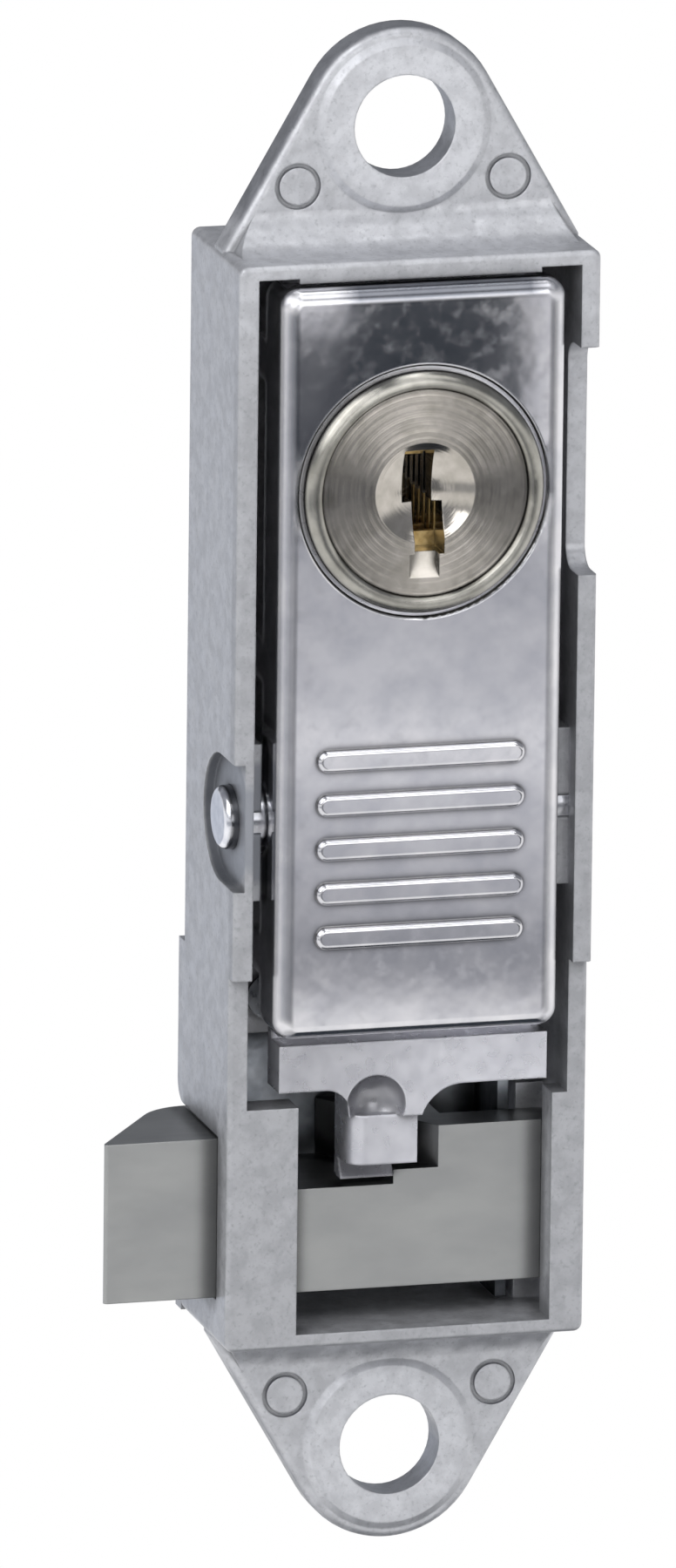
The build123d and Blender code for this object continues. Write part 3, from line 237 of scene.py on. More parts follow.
def shade_card(name, shades):
    """A card's own light, as a ramp of colours over its height."""
    material = bpy.data.materials.new(name)
    material.use_nodes = True
    tree = material.node_tree
    tree.nodes.clear()
    place = tree.nodes.new("ShaderNodeTexCoord")
    split = tree.nodes.new("ShaderNodeSeparateXYZ")
    tree.links.new(place.outputs["Object"], split.inputs[0])
    bottom, top = shades[0][0], shades[-1][0]
    share = tree.nodes.new("ShaderNodeMapRange")
    share.inputs["From Min"].default_value = mm(bottom)
    share.inputs["From Max"].default_value = mm(top)
    tree.links.new(split.outputs["Z"], share.inputs["Value"])
    ramp = tree.nodes.new("ShaderNodeValToRGB")
    stops = ramp.color_ramp.elements
    while len(stops) < len(shades):
        stops.new(0.5)
    for stop, (height, color) in zip(stops, shades):
        stop.position = (height - bottom) / (top - bottom)
        stop.color = color
    tree.links.new(share.outputs["Result"], ramp.inputs["Fac"])
    glow = tree.nodes.new("ShaderNodeEmission")
    tree.links.new(ramp.outputs["Color"], glow.inputs["Color"])
    surface = tree.nodes.new("ShaderNodeOutputMaterial")
    tree.links.new(glow.outputs[0], surface.inputs["Surface"])
    return material


def bend_card(name, left, right, shades, radius=CARD_RADIUS):
    """A card round the lock between two angles from straight ahead, in degrees.

    shades are pairs of a height in millimetres and a colour, from the card's lower edge to its upper
    one. The card fades from each to the next.
    """
    mesh = bpy.data.meshes.new(name)
    points = []
    for i in range(CARD_STEPS + 1):
        angle = math.radians(left + (right - left) * i / CARD_STEPS)
        for height in (shades[0][0], shades[-1][0]):
            points.append((mm(radius) * math.sin(angle), -mm(radius) * math.cos(angle), mm(height)))
    faces = [(2 * i, 2 * i + 2, 2 * i + 3, 2 * i + 1) for i in range(CARD_STEPS)]
    mesh.from_pydata(points, [], faces)
    mesh.materials.append(shade_card(name, shades))
    return put_card(bpy.data.objects.new(name, mesh))


def mirrored(height):
    """The height on a card that a front face at that height shows, in millimetres."""
    return height * MIRROR_STRETCH - MIRROR_DROP


def mirror_card(name, left, right, shades, radius=CARD_RADIUS):
    """A bent card whose heights are given as they show on a front face."""
    return bend_card(name, left, right, [(mirrored(z), color) for z, color in shades], radius)


def plain(color, low, high):
    """The shades of a card that has one colour between two heights."""
    return [(low, color), (high, color)]


print("a front face at height 0 mirrors a card's height", mirrored(0), "mm")

# %% [markdown]
# The cards in front
#
# The dark band hangs right across the front, and gives the turned cylinder its two dark wedges too,
# left and right. On the cover its image has pale edges, so a gleam hangs before it at either side,
# and a hazy patch with a bright top stands in the image's upper left corner. Under the band, the grey
# card shades the rest of the cover: white at the sheet's lower end, then a darker belt, then pale grey.
#
# The flat sheet sees no more than that. The cylinder's rings and the rounded edges look further to
# the sides, so the grey card has a darker wing on either side, and a pale card hangs far out on the
# left. A small one low on the left gives the dish round the keyhole its bright side. Cards that
# overlap are bent to slightly different radii, and the closest one shows.

# %% Front cards
SLATE = tone(50, 55, 62)
WING_GREY = tone(104, 106, 110)
SIDE_GREY = tone(178, 180, 185)
HAZE = tone(92, 94, 99)
GLEAM = tone(235, 235, 238)
BAND_LOW = 19.0
BAND_HIGH = 38.5
GLEAM_TOP = 24.0
WING_LOW = -38
FAR_LEFT_LOW = -18
DISH_CARD_LOW = -82
DISH_CARD_HIGH = -44
GLEAM_RADIUS = CARD_RADIUS - 2
WING_RADIUS = CARD_RADIUS - 1
DISH_CARD_RADIUS = CARD_RADIUS - 3
FAR_LEFT_RADIUS = CARD_RADIUS + 4
COVER_SHADES = [
    (-16.5, tone(255, 255, 255)),
    (-14.2, tone(240, 240, 243)),
    (-12.2, tone(166, 167, 172)),
    (-10.6, tone(146, 148, 154)),
    (-6.0, tone(190, 191, 196)),
    (2.0, tone(214, 215, 220)),
    (4.6, tone(250, 250, 252)),
    (7.5, tone(210, 211, 216)),
    (14.0, tone(196, 197, 202)),
    (BAND_LOW, tone(179, 181, 187)),
]
LEFT_GLEAM_SHADES = [(BAND_LOW, GLEAM), (GLEAM_TOP, SLATE)]
CORNER_SHADES = [(GLEAM_TOP, SLATE), (27.0, HAZE), (33.2, HAZE), (34.8, GLEAM), (BAND_HIGH, GLEAM)]

mirror_card("dark_band", -14, 46, plain(SLATE, BAND_LOW, BAND_HIGH))
mirror_card("left_gleam", 11.5, 13.4, LEFT_GLEAM_SHADES, GLEAM_RADIUS)
mirror_card("right_gleam", 17.0, 19.5, plain(GLEAM, BAND_LOW, BAND_HIGH), GLEAM_RADIUS)
mirror_card("grey_card", 10.5, 20.5, COVER_SHADES)
mirror_card("left_wing", -8, 12.9, plain(WING_GREY, WING_LOW, BAND_LOW), WING_RADIUS)
mirror_card("right_wing", 19.2, 40, plain(WING_GREY, WING_LOW, BAND_LOW), WING_RADIUS)
bend_card("dish_card", -26, -14, plain(GLEAM, DISH_CARD_LOW, DISH_CARD_HIGH), DISH_CARD_RADIUS)
mirror_card("left_corner", 11.8, 14.1, CORNER_SHADES, GLEAM_RADIUS)
mirror_card("far_left_card", -80, -8, plain(SIDE_GREY, FAR_LEFT_LOW, BAND_HIGH), FAR_LEFT_RADIUS)
print("band from", round(mirrored(BAND_LOW), 1), "to", round(mirrored(BAND_HIGH), 1), "mm")

# %% [markdown]
# The cards behind, and the table
#
# A level top, such as the bolt's, mirrors what stands high behind the lock, and the long side wall
# mirrors what stands low behind it on the left. The first is dark and the second a pale blue grey. A
# small dark table right under the lock keeps the hollows and the lower edges from filling with white
# light from the floor.

# %% Cards behind
REAR_LOW = 30
REAR_HIGH = 125
BLUE_SHADES = [(-155, tone(190, 195, 205)), (25, tone(204, 208, 216))]

bend_card("rear_card", -215, -150, plain(HAZE, REAR_LOW, REAR_HIGH))
bend_card("blue_card", -205, -125, BLUE_SHADES)

# %% Dark table
TABLE_PLACE = Vector((mm(30), mm(-15), mm(-140)))
TABLE_RADIUS = mm(75)
TABLE_SIDES = 32
TABLE_SHADES = plain(SLATE, -200, -100)


def lay_table():
    """A small dark table right under the lock, which the hollows and lower edges mirror."""
    mesh = bpy.data.meshes.new("dark_table")
    corners = []
    for i in range(TABLE_SIDES):
        angle = 2 * math.pi * i / TABLE_SIDES
        corners.append(TABLE_PLACE + Vector((math.cos(angle), math.sin(angle), 0)) * TABLE_RADIUS)
    mesh.from_pydata(corners, [], [list(range(TABLE_SIDES))])
    mesh.materials.append(shade_card("dark_table", TABLE_SHADES))
    return put_card(bpy.data.objects.new("dark_table", mesh))


lay_table()

# %% [markdown]
# The lamps
#
# Four soft, square lamps. One hangs high in front, a little to the right, and draws the bright lines
# on the rolled edges. A small one hangs almost straight above and lights the cove under the upper ear
# and the shoulders of the frame. A broad one high on the left gives the cylinder's rim its bright arc
# and the dish round the keyhole its bright side. A panel almost straight ahead fills the front faces.

# %% Soft lamps
def hang_lamp(name, place, size, radiance):
    """A square lamp that faces the lock, with its place and size in metres.

    radiance is how bright its face is, where 1 is white.
    """
    lamp_data = bpy.data.lights.new(name, "AREA")
    lamp_data.shape = "SQUARE"
    lamp_data.size = size
    lamp_data.energy = radiance * math.pi * size**2
    lamp = bpy.data.objects.new(name, lamp_data)
    lamp.location = place
    lamp.rotation_mode = "QUATERNION"
    lamp.rotation_quaternion = Vector(place).to_track_quat("Z", "Y")
    lamp.visible_camera = False
    bpy.context.scene.collection.objects.link(lamp)
    return lamp


hang_lamp("overhead_lamp", place=(0.20, -0.50, 0.66), size=0.45, radiance=1.5)
hang_lamp("ceiling_lamp", place=(0.10, -0.08, 0.85), size=0.25, radiance=3.4)
hang_lamp("left_lamp", place=(-0.60, -0.52, 0.61), size=0.80, radiance=2.7)
hang_lamp("front_panel", place=(0.12, -1.18, 0.21), size=0.50, radiance=2.0)
print("lamps", [lamp.name for lamp in bpy.data.lights])

# %% [markdown]
# How a finish is built
#
# A metal finish here has three layers, and each comes from noise in the piece's own space, so it
# stays on the metal when the piece moves. Patches shift the colour between two tones. The same kind
# of noise makes some spots glossier than others. A fine height map roughens the surface, and its
# edges are eased, because no real edge is perfectly sharp: it always catches a line of light. Shallow
# recesses are darkened a little with painted shade.
#
# The helpers below each add one layer to a shader.

# %% Metal, noise and colour
NOISE_TURN = (0.5, 0.8, 0.3)
SEED_STEP = (1.0, 0.7, 1.3)
LOW_NOISE = 0.35
HIGH_NOISE = 0.65


def start_finish(name, color, gloss, metal=1.0):
    """A new metal with one colour. Returns the material, its node tree and its shader.

    gloss is a pair, the roughness of its glossiest and of its dullest spots. The metal starts out
    half way between the two.
    """
    material = bpy.data.materials.new(name)
    material.use_nodes = True
    tree = material.node_tree
    shader = tree.nodes["Principled BSDF"]
    shader.inputs["Base Color"].default_value = color
    shader.inputs["Roughness"].default_value = sum(gloss) / 2
    shader.inputs["Metallic"].default_value = metal
    return material, tree, shader


def grain(tree, size, detail=3.0, stretch=(1, 1, 1), seed=0.0, rough=0.5):
    """Noise with grains of about that size in millimetres. Returns the socket of its value."""
    place = tree.nodes.new("ShaderNodeTexCoord")
    mapping = tree.nodes.new("ShaderNodeMapping")
    mapping.inputs["Location"].default_value = [seed * step for step in SEED_STEP]
    mapping.inputs["Scale"].default_value = [s / mm(size) for s in stretch]
    mapping.inputs["Rotation"].default_value = NOISE_TURN
    tree.links.new(place.outputs["Object"], mapping.inputs["Vector"])
    noise = tree.nodes.new("ShaderNodeTexNoise")
    noise.inputs["Scale"].default_value = 1.0
    noise.inputs["Detail"].default_value = detail
    noise.inputs["Roughness"].default_value = rough
    tree.links.new(mapping.outputs["Vector"], noise.inputs["Vector"])
    return noise.outputs["Fac"]


def spread(tree, value, low, high, from_low=LOW_NOISE, from_high=HIGH_NOISE):
    """Stretches a value over the range from low to high. A noise value keeps near a half."""
    node = tree.nodes.new("ShaderNodeMapRange")
    node.inputs["From Min"].default_value = from_low
    node.inputs["From Max"].default_value = from_high
    node.inputs["To Min"].default_value = low
    node.inputs["To Max"].default_value = high
    tree.links.new(value, node.inputs["Value"])
    return node.outputs["Result"]


def mottle(tree, factor, first, second, blend="MIX"):
    """A colour that goes from first to second with factor. Each is a colour or a socket.

    With the blend MULTIPLY, second is a filter that is laid over first.
    """
    node = tree.nodes.new("ShaderNodeMix")
    node.data_type = "RGBA"
    node.blend_type = blend
    if isinstance(factor, float):
        node.inputs["Factor"].default_value = factor
    else:
        tree.links.new(factor, node.inputs["Factor"])
    color_sockets = [s for s in node.inputs if s.type == "RGBA"]
    for socket, color in zip(color_sockets, (first, second)):
        if isinstance(color, tuple):
            socket.default_value = color
        else:
            tree.links.new(color, socket)
    return next(s for s in node.outputs if s.type == "RGBA")


def wear(piece_name, material):
    """Gives a CAD node its finish."""
    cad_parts[piece_name].material_slots[0].material = material


print("noise keeps between about", LOW_NOISE, "and", HIGH_NOISE)

# %% Edges, painted recess shade and relief
EDGE_RAYS = 4
RECESS_SHADE_RAYS = 12
NARROW_GAP = 0.25
RECESS = (0.45, 0.72)
OPEN_FACE = 0.92
UNSHADED = (1, 1, 1, 1)


def ease_edges(tree, radius):
    """A surface direction that turns smoothly over each edge, as if it were rounded.

    radius is a number in millimetres, or a socket whose value is in metres.
    """
    node = tree.nodes.new("ShaderNodeBevel")
    node.samples = EDGE_RAYS
    if isinstance(radius, float):
        node.inputs["Radius"].default_value = mm(radius)
    else:
        tree.links.new(radius, node.inputs["Radius"])
    return node.outputs["Normal"]


# Painted shade: the darkening below stands for the shade that falls in recesses.
def paint_recess_shade(tree, color, reach, darkest, own=False):
    """Paints shade into a colour in shallow recesses. reach is in millimetres.

    A narrow gap stays as it is: it's dark already, because hardly any light gets in. With own, only
    the piece's own recesses count, and not those that it makes with its neighbours.
    """
    openness = tree.nodes.new("ShaderNodeAmbientOcclusion")
    openness.only_local = own
    openness.samples = RECESS_SHADE_RAYS
    openness.inputs["Distance"].default_value = mm(reach)
    ramp = tree.nodes.new("ShaderNodeValToRGB")
    stops = ramp.color_ramp.elements
    stops[0].position = NARROW_GAP
    stops[0].color = UNSHADED
    stops[1].position = OPEN_FACE
    stops[1].color = UNSHADED
    for position in RECESS:
        stops.new(position).color = (darkest, darkest, darkest, 1)
    tree.links.new(openness.outputs["AO"], ramp.inputs["Fac"])
    return mottle(tree, 1.0, color, ramp.outputs["Color"], "MULTIPLY")


def emboss(tree, height, depth, normal):
    """A surface direction bent by a height map, whose full step is depth in millimetres."""
    node = tree.nodes.new("ShaderNodeBump")
    node.inputs["Strength"].default_value = 1.0
    node.inputs["Distance"].default_value = mm(depth)
    tree.links.new(height, node.inputs["Height"])
    tree.links.new(normal, node.inputs["Normal"])
    return node.outputs["Normal"]


print("painted_shade lies where a face is", RECESS[0], "to", RECESS[1], "open")

# %% [markdown]
# Places on a piece
#
# Some colours change from place to place: a seat is lighter, and a hollow gets painted shade. A picture
# could be painted and wrapped round the piece for that. Here a place is worked out from where a point
# lies on the piece, which needs no unwrapping and has no seams. Its share is 1 on the place and 0
# elsewhere, and fades in between. Shares are multiplied where several things must hold at once, and a
# filter colour is laid over the metal where the share is 1.

# %% Shares and filters
MM_PER_METRE = 1000


def along(tree, axis, kind="Object"):
    """Where a point lies on the piece along X, Y or Z, in metres, as a socket.

    With the kind Normal, it is how far the face there turns to that axis, from -1 to 1.
    """
    place = tree.nodes.new("ShaderNodeTexCoord")
    split = tree.nodes.new("ShaderNodeSeparateXYZ")
    tree.links.new(place.outputs[kind], split.inputs[0])
    return split.outputs[axis]


def unsigned(tree, value):
    """A value without its sign, so that both sides of the piece count alike."""
    node = tree.nodes.new("ShaderNodeMath")
    node.operation = "ABSOLUTE"
    tree.links.new(value, node.inputs[0])
    return node.outputs[0]


def from_axis(tree, centre, keep):
    """How far a point is from a line through centre, in millimetres.

    keep is 1 for each axis across the line and 0 for the one along it.
    """
    place = tree.nodes.new("ShaderNodeTexCoord")
    centred = tree.nodes.new("ShaderNodeVectorMath")
    centred.operation = "SUBTRACT"
    centred.inputs[1].default_value = centre
    tree.links.new(place.outputs["Object"], centred.inputs[0])
    flattened = tree.nodes.new("ShaderNodeVectorMath")
    flattened.operation = "MULTIPLY"
    flattened.inputs[1].default_value = [MM_PER_METRE * share for share in keep]
    tree.links.new(centred.outputs["Vector"], flattened.inputs[0])
    length = tree.nodes.new("ShaderNodeVectorMath")
    length.operation = "LENGTH"
    tree.links.new(flattened.outputs["Vector"], length.inputs[0])
    return length.outputs["Value"]


def rising(tree, value, edges):
    """0 below the first of two edges, 1 above the second, and a fade in between."""
    return spread(tree, value, 0.0, 1.0, *edges)


def falling(tree, value, edges):
    """1 below the first of two edges, 0 above the second, and a fade in between."""
    return spread(tree, value, 1.0, 0.0, *edges)


def combine(tree, operation, *values):
    """Values joined by an operation of the Math node, such as MULTIPLY or MAXIMUM."""
    joined = values[0]
    for other in values[1:]:
        node = tree.nodes.new("ShaderNodeMath")
        node.operation = operation
        tree.links.new(joined, node.inputs[0])
        tree.links.new(other, node.inputs[1])
        joined = node.outputs[0]
    return joined


def tint(tree, share, color, filter_color):
    """A colour with a filter laid over it where share is 1."""
    return mottle(tree, share, color, filter_color, "MULTIPLY")


print("from_axis() counts", MM_PER_METRE, "to the metre")

# %% [markdown]
# Zinc die casting
#
# Molten zinc freezes against the steel die in flakes and swirls, so a bare casting is pale grey with
# soft blotches about a millimetre wide, fine dark flecks between them, and a faint orange-peel skin.
#
# Four places differ. The ring seats round the ear holes are a lighter tone. Painted shade darkens the
# front faces of the frame below its lintel a touch, and the narrow edges of the ears, which turn away
# from the front. The hollow round the pin's end is painted a shaded tone.

# %% Places on the housing
HOLE_RISE = mm(46.4)
SEAT_EDGES = (5.1, 6.1)
FRONT_EDGES = (mm(-3.4), mm(-3.0))
LINTEL_EDGES = (mm(31.0), mm(34.0))
SIDEWAYS_EDGES = (0.25, 0.8)
EAR_EDGES = (mm(39.6), mm(41.1))
RELIEF_EDGES = (4.45, 4.95)
WALL_EDGES = (mm(-12.6), mm(-12.45))
LEFT_EDGES = (mm(-2), 0.0)
pin_low, pin_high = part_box("pivot_pin")
pin_middle = (pin_low + pin_high) / 2


def seat_share(tree):
    """1 on the raised rings round the two ear holes."""
    rings = []
    for rise in (HOLE_RISE, -HOLE_RISE):
        rings.append(falling(tree, from_axis(tree, (0, 0, rise), (1, 0, 1)), SEAT_EDGES))
    return combine(tree, "MAXIMUM", *rings)


def ear_edge_shade_share(tree):
    """1 on the narrow side faces of the two ears, which turn away from the front, where shade is
    painted.
    """
    sideways = falling(tree, unsigned(tree, along(tree, "Y", "Normal")), SIDEWAYS_EDGES)
    beyond = rising(tree, unsigned(tree, along(tree, "Z")), EAR_EDGES)
    return combine(tree, "MULTIPLY", sideways, beyond)


def front_shade_share(tree):
    """1 on the front faces of the frame below its lintel, where shade is painted."""
    front = falling(tree, along(tree, "Y"), FRONT_EDGES)
    below = falling(tree, along(tree, "Z"), LINTEL_EDGES)
    return combine(tree, "MULTIPLY", front, below)


def relief_shade_share(tree):
    """1 on the hollow round the pin's left end, where shade is painted."""
    near = falling(tree, from_axis(tree, pin_middle, (0, 1, 1)), RELIEF_EDGES)
    sunk = rising(tree, along(tree, "X"), WALL_EDGES)
    left = falling(tree, along(tree, "X"), LEFT_EDGES)
    return combine(tree, "MULTIPLY", near, sunk, left)


print("pin's middle at", [round(c * 1000, 2) for c in pin_middle])

# %% The casting of the housing
CAST_PALE = tone(205, 206, 210)
CAST_DULL = tone(190, 191, 195)
CAST_FLECK = tone(156, 158, 162)
# Painted shade for the hollow round the pin's end.
RELIEF_SHADE = tone(158, 161, 168)
SEAT_SHINE = (1.17, 1.17, 1.17, 1)
# Painted shade filter for the ears' narrow edges.
EAR_EDGE_SHADE = tone(196, 197, 200)
# Painted shade filter for the frame's front faces below its lintel.
FRONT_SHADE = tone(236, 236, 236)
OXIDE_METAL = 0.6
CAST_GLOSS = (0.34, 0.52)
BLOTCH_SIZE = 1.2
BLOTCH_EDGES = (0.40, 0.60)
FLECK_SIZE = 0.28
FLECK_STRENGTH = 0.6
FLECK_EDGES = (0.56, 0.78)
CAST_EDGE = 0.2
PEEL_SIZE = 0.6
PEEL_DEPTH = 0.018


def make_zinc_casting():
    """Bare zinc, as cast: blotchy, finely flecked and only half glossy."""
    material, tree, shader = start_finish("zinc_casting", CAST_PALE, CAST_GLOSS, OXIDE_METAL)
    blotches = rising(tree, grain(tree, BLOTCH_SIZE, detail=8.0, rough=0.62), BLOTCH_EDGES)
    blotchy = mottle(tree, blotches, CAST_DULL, CAST_PALE)
    fine = grain(tree, FLECK_SIZE, detail=4.0, seed=3.1)
    flecks = spread(tree, fine, 0.0, FLECK_STRENGTH, *FLECK_EDGES)
    flecked = mottle(tree, flecks, blotchy, CAST_FLECK)
    seated = tint(tree, seat_share(tree), flecked, SEAT_SHINE)
    # Painted shade on the ears' edges, the front faces and the hollow round the pin.
    ear_edges_shaded = tint(tree, ear_edge_shade_share(tree), seated, EAR_EDGE_SHADE)
    front_shaded = tint(tree, front_shade_share(tree), ear_edges_shaded, FRONT_SHADE)
    relief_shaded = mottle(tree, relief_shade_share(tree), front_shaded, RELIEF_SHADE)
    recess_shaded = paint_recess_shade(tree, relief_shaded, reach=2.0, darkest=0.6)
    tree.links.new(recess_shaded, shader.inputs["Base Color"])
    gloss = spread(tree, grain(tree, size=1.0, detail=6.0, seed=5.7), *CAST_GLOSS)
    tree.links.new(gloss, shader.inputs["Roughness"])
    rounded = ease_edges(tree, CAST_EDGE)
    skin = emboss(tree, grain(tree, PEEL_SIZE, detail=5.0, seed=8.2), PEEL_DEPTH, rounded)
    tree.links.new(skin, shader.inputs["Normal"])
    return material


zinc_casting = make_zinc_casting()
wear("housing", zinc_casting)
print("finish", zinc_casting.name)

# %% [markdown]
# The handle's casting
#
# The handle body comes from a finer die and is tumbled after casting. It is the same zinc, but
# smoother, with softer clouds and a clearer shine. A filter paints shade on the left end of its tail
# and fades out towards the right.

# %% The casting of the handle
HANDLE_PALE = tone(236, 236, 242)
HANDLE_DULL = tone(224, 224, 231)
# Painted shade filter for the left end of the tail.
HANDLE_SHADE = tone(222, 222, 222)
SHADE_EDGES = (mm(-6.5), mm(4.0))
TUMBLED_METAL = 0.8
HANDLE_GLOSS = (0.26, 0.38)
CLOUD_SIZE = 1.8
HANDLE_EDGE = 0.25
HANDLE_SKIN_SIZE = 1.6
HANDLE_SKIN_DEPTH = 0.006


def make_handle_casting():
    """Tumbled zinc: smooth, pale and fairly glossy."""
    material, tree, shader = start_finish("handle_casting", HANDLE_PALE, HANDLE_GLOSS, TUMBLED_METAL)
    clouds = spread(tree, grain(tree, CLOUD_SIZE, detail=2.0, seed=1.9), 0.0, 1.0)
    cloudy = mottle(tree, clouds, HANDLE_DULL, HANDLE_PALE)
    shaded = tint(tree, falling(tree, along(tree, "X"), SHADE_EDGES), cloudy, HANDLE_SHADE)
    recess_shaded = paint_recess_shade(tree, shaded, reach=3.0, darkest=0.4, own=True)
    tree.links.new(recess_shaded, shader.inputs["Base Color"])
    gloss = spread(tree, grain(tree, size=0.9, detail=1.0, seed=2.6), *HANDLE_GLOSS)
    tree.links.new(gloss, shader.inputs["Roughness"])
    rounded = ease_edges(tree, HANDLE_EDGE)
    height = grain(tree, HANDLE_SKIN_SIZE, detail=1.0, seed=6.4)
    skin = emboss(tree, height, HANDLE_SKIN_DEPTH, rounded)
    tree.links.new(skin, shader.inputs["Normal"])
    return material


handle_casting = make_handle_casting()
wear("handle_body", handle_casting)
print("finish", handle_casting.name)

# %% [markdown]
# The bright cover
#
# The cover is pressed from sheet and polished, so it mirrors the room softly. Polishing leaves slow
# waves in the sheet and small smudges, which break the mirror image up into patches.
#
# Its sides and its top are rolled over the casting. A wide easing there makes the mirror image run
# round the edge. The top roll lies under the lintel and is eased less, and between its two ends a dark
# filter paints shade on it.

# %% The cover's rolled edges
ROLL_REACH = 0.95
TOP_REACH = 0.3
EDGE_REACH = 0.12
ROLL_FROM = 1.5
ROLL_TO = 1.1
TOP_FROM = mm(1.3)
TOP_TO = mm(0.8)
TOP_LEFT_EDGES = (mm(-6.6), mm(-4.6))
TOP_RIGHT_EDGES = (mm(7.4), mm(9.0))
cover_low, cover_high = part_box("handle_cover")
cover_middle = (cover_low + cover_high) / 2
half_width = (cover_high.x - cover_middle.x) * MM_PER_METRE


def roll_radius(tree):
    """How far the sheet's edge is eased, in metres: widely at its rolled sides, less at its top."""
    side_from, side_to = half_width - ROLL_FROM, half_width - ROLL_TO
    top_from, top_to = cover_high.z - mm(ROLL_FROM), cover_high.z - mm(ROLL_TO)
    away = from_axis(tree, cover_middle, (1, 0, 0))
    at_side = spread(tree, away, mm(EDGE_REACH), mm(ROLL_REACH), side_from, side_to)
    at_top = spread(tree, along(tree, "Z"), mm(EDGE_REACH), mm(TOP_REACH), top_from, top_to)
    return combine(tree, "MAXIMUM", at_side, at_top)


def top_roll_shade_share(tree):
    """1 on the top roll between its two ends, which stay bright. Shade is painted there."""
    high = rising(tree, along(tree, "Z"), (cover_high.z - TOP_FROM, cover_high.z - TOP_TO))
    inside_left = rising(tree, along(tree, "X"), TOP_LEFT_EDGES)
    inside_right = falling(tree, along(tree, "X"), TOP_RIGHT_EDGES)
    return combine(tree, "MULTIPLY", high, inside_left, inside_right)


print("the cover is", round(2 * half_width, 2), "mm wide")

# %% The polished sheet
SHEET_BRIGHT = tone(228, 227, 230)
SHEET_SMUDGE = tone(210, 210, 215)
# Painted shade filter for the top roll.
TOP_ROLL_SHADE = tone(140, 143, 148)
SHEET_METAL = 0.985
SHEET_GLOSS = (0.05, 0.10)
DULL_SPOT_EDGES = (0.50, 0.80)
SMUDGE_SIZE = 2.6
WAVE_SIZE = 3.2
WAVE_DEPTH = 0.004


def make_bright_sheet():
    """Polished sheet: a soft mirror with slow waves and faint smudges."""
    material, tree, shader = start_finish("bright_sheet", SHEET_BRIGHT, SHEET_GLOSS, SHEET_METAL)
    smudges = spread(tree, grain(tree, SMUDGE_SIZE, detail=6.0, seed=4.3), 0.0, 1.0)
    smudged = mottle(tree, smudges, SHEET_SMUDGE, SHEET_BRIGHT)
    top_roll_shaded = tint(tree, top_roll_shade_share(tree), smudged, TOP_ROLL_SHADE)
    recess_shaded = paint_recess_shade(tree, top_roll_shaded, reach=0.8, darkest=0.35)
    tree.links.new(recess_shaded, shader.inputs["Base Color"])
    spots = grain(tree, size=1.0, detail=5.0, seed=9.1)
    gloss = spread(tree, spots, *SHEET_GLOSS, *DULL_SPOT_EDGES)
    tree.links.new(gloss, shader.inputs["Roughness"])
    rounded = ease_edges(tree, roll_radius(tree))
    waves = emboss(tree, grain(tree, WAVE_SIZE, detail=2.0, seed=7.5), WAVE_DEPTH, rounded)
    tree.links.new(waves, shader.inputs["Normal"])
    return material


bright_sheet = make_bright_sheet()
wear("handle_cover", bright_sheet)
print("finish", bright_sheet.name)

# %% [markdown]
# The bolt
#
# The bolt is a smooth, satin piece in a warmer and darker grey than the castings round it. It has no
# blotches, only a faint grain along its travel where it rubs in the housing.

# %% The bolt's metal
BOLT_PALE = tone(180, 181, 180)
BOLT_DULL = tone(170, 171, 171)
BOLT_GLOSS = (0.34, 0.42)
BOLT_EDGE = 0.12
BOLT_SCRATCH_SIZE = 0.5
BOLT_SCRATCH_DEPTH = 0.003


def make_bolt_steel():
    """Satin metal with a hint of grain along X, the way that the bolt slides."""
    material, tree, shader = start_finish("bolt_steel", BOLT_PALE, BOLT_GLOSS)
    clouds = spread(tree, grain(tree, size=3.0, detail=6.0, stretch=(0.5, 1, 1), seed=2.2), 0.0, 1.0)
    cloudy = mottle(tree, clouds, BOLT_DULL, BOLT_PALE)
    recess_shaded = paint_recess_shade(tree, cloudy, reach=2.0, darkest=0.35)
    tree.links.new(recess_shaded, shader.inputs["Base Color"])
    streaks = grain(tree, size=0.8, detail=4.0, stretch=(0.3, 1, 1), seed=3.3)
    gloss = spread(tree, streaks, *BOLT_GLOSS)
    tree.links.new(gloss, shader.inputs["Roughness"])
    rounded = ease_edges(tree, BOLT_EDGE)
    scratches = grain(tree, BOLT_SCRATCH_SIZE, stretch=(0.2, 1, 1), seed=4.4)
    rubbed = emboss(tree, scratches, BOLT_SCRATCH_DEPTH, rounded)
    tree.links.new(rubbed, shader.inputs["Normal"])
    return material


bolt_steel = make_bolt_steel()
wear("latch_bolt", bolt_steel)
print("finish", bolt_steel.name)

# %% [markdown]
# Plated and drawn steel
#
# The small fittings are steel. The pressed ones are zinc plated, which gives a pale grey skin with a
# slightly blue cast and tiny crystals. Wire and pin are drawn through a die, so they are smoother and
# have a grain along their length.

# %% Small steel fittings
STEEL_SHADE_REACH = 2.5
STEEL_SKIN_DEPTH = 0.01
ALONG_X = (0.08, 1, 1)


def make_steel(name, pale, dull, size, gloss, edge, stretch=(1, 1, 1), darkest=0.15):
    """A plain steel finish between two tones.

    size is that of its grains and edge is how far its edges are eased, both in millimetres. gloss is
    a pair, the roughness of its glossiest and of its dullest spots.
    """
    material, tree, shader = start_finish(name, pale, gloss)
    patches = spread(tree, grain(tree, size, stretch=stretch, seed=size), 0.0, 1.0)
    patchy = mottle(tree, patches, dull, pale)
    recess_shaded = paint_recess_shade(tree, patchy, STEEL_SHADE_REACH, darkest)
    tree.links.new(recess_shaded, shader.inputs["Base Color"])
    spots = spread(tree, grain(tree, size / 2, stretch=stretch, seed=size + 1), *gloss)
    tree.links.new(spots, shader.inputs["Roughness"])
    rounded = ease_edges(tree, edge)
    height = grain(tree, size / 2, stretch=stretch, seed=size + 2)
    skin = emboss(tree, height, STEEL_SKIN_DEPTH, rounded)
    tree.links.new(skin, shader.inputs["Normal"])
    return material


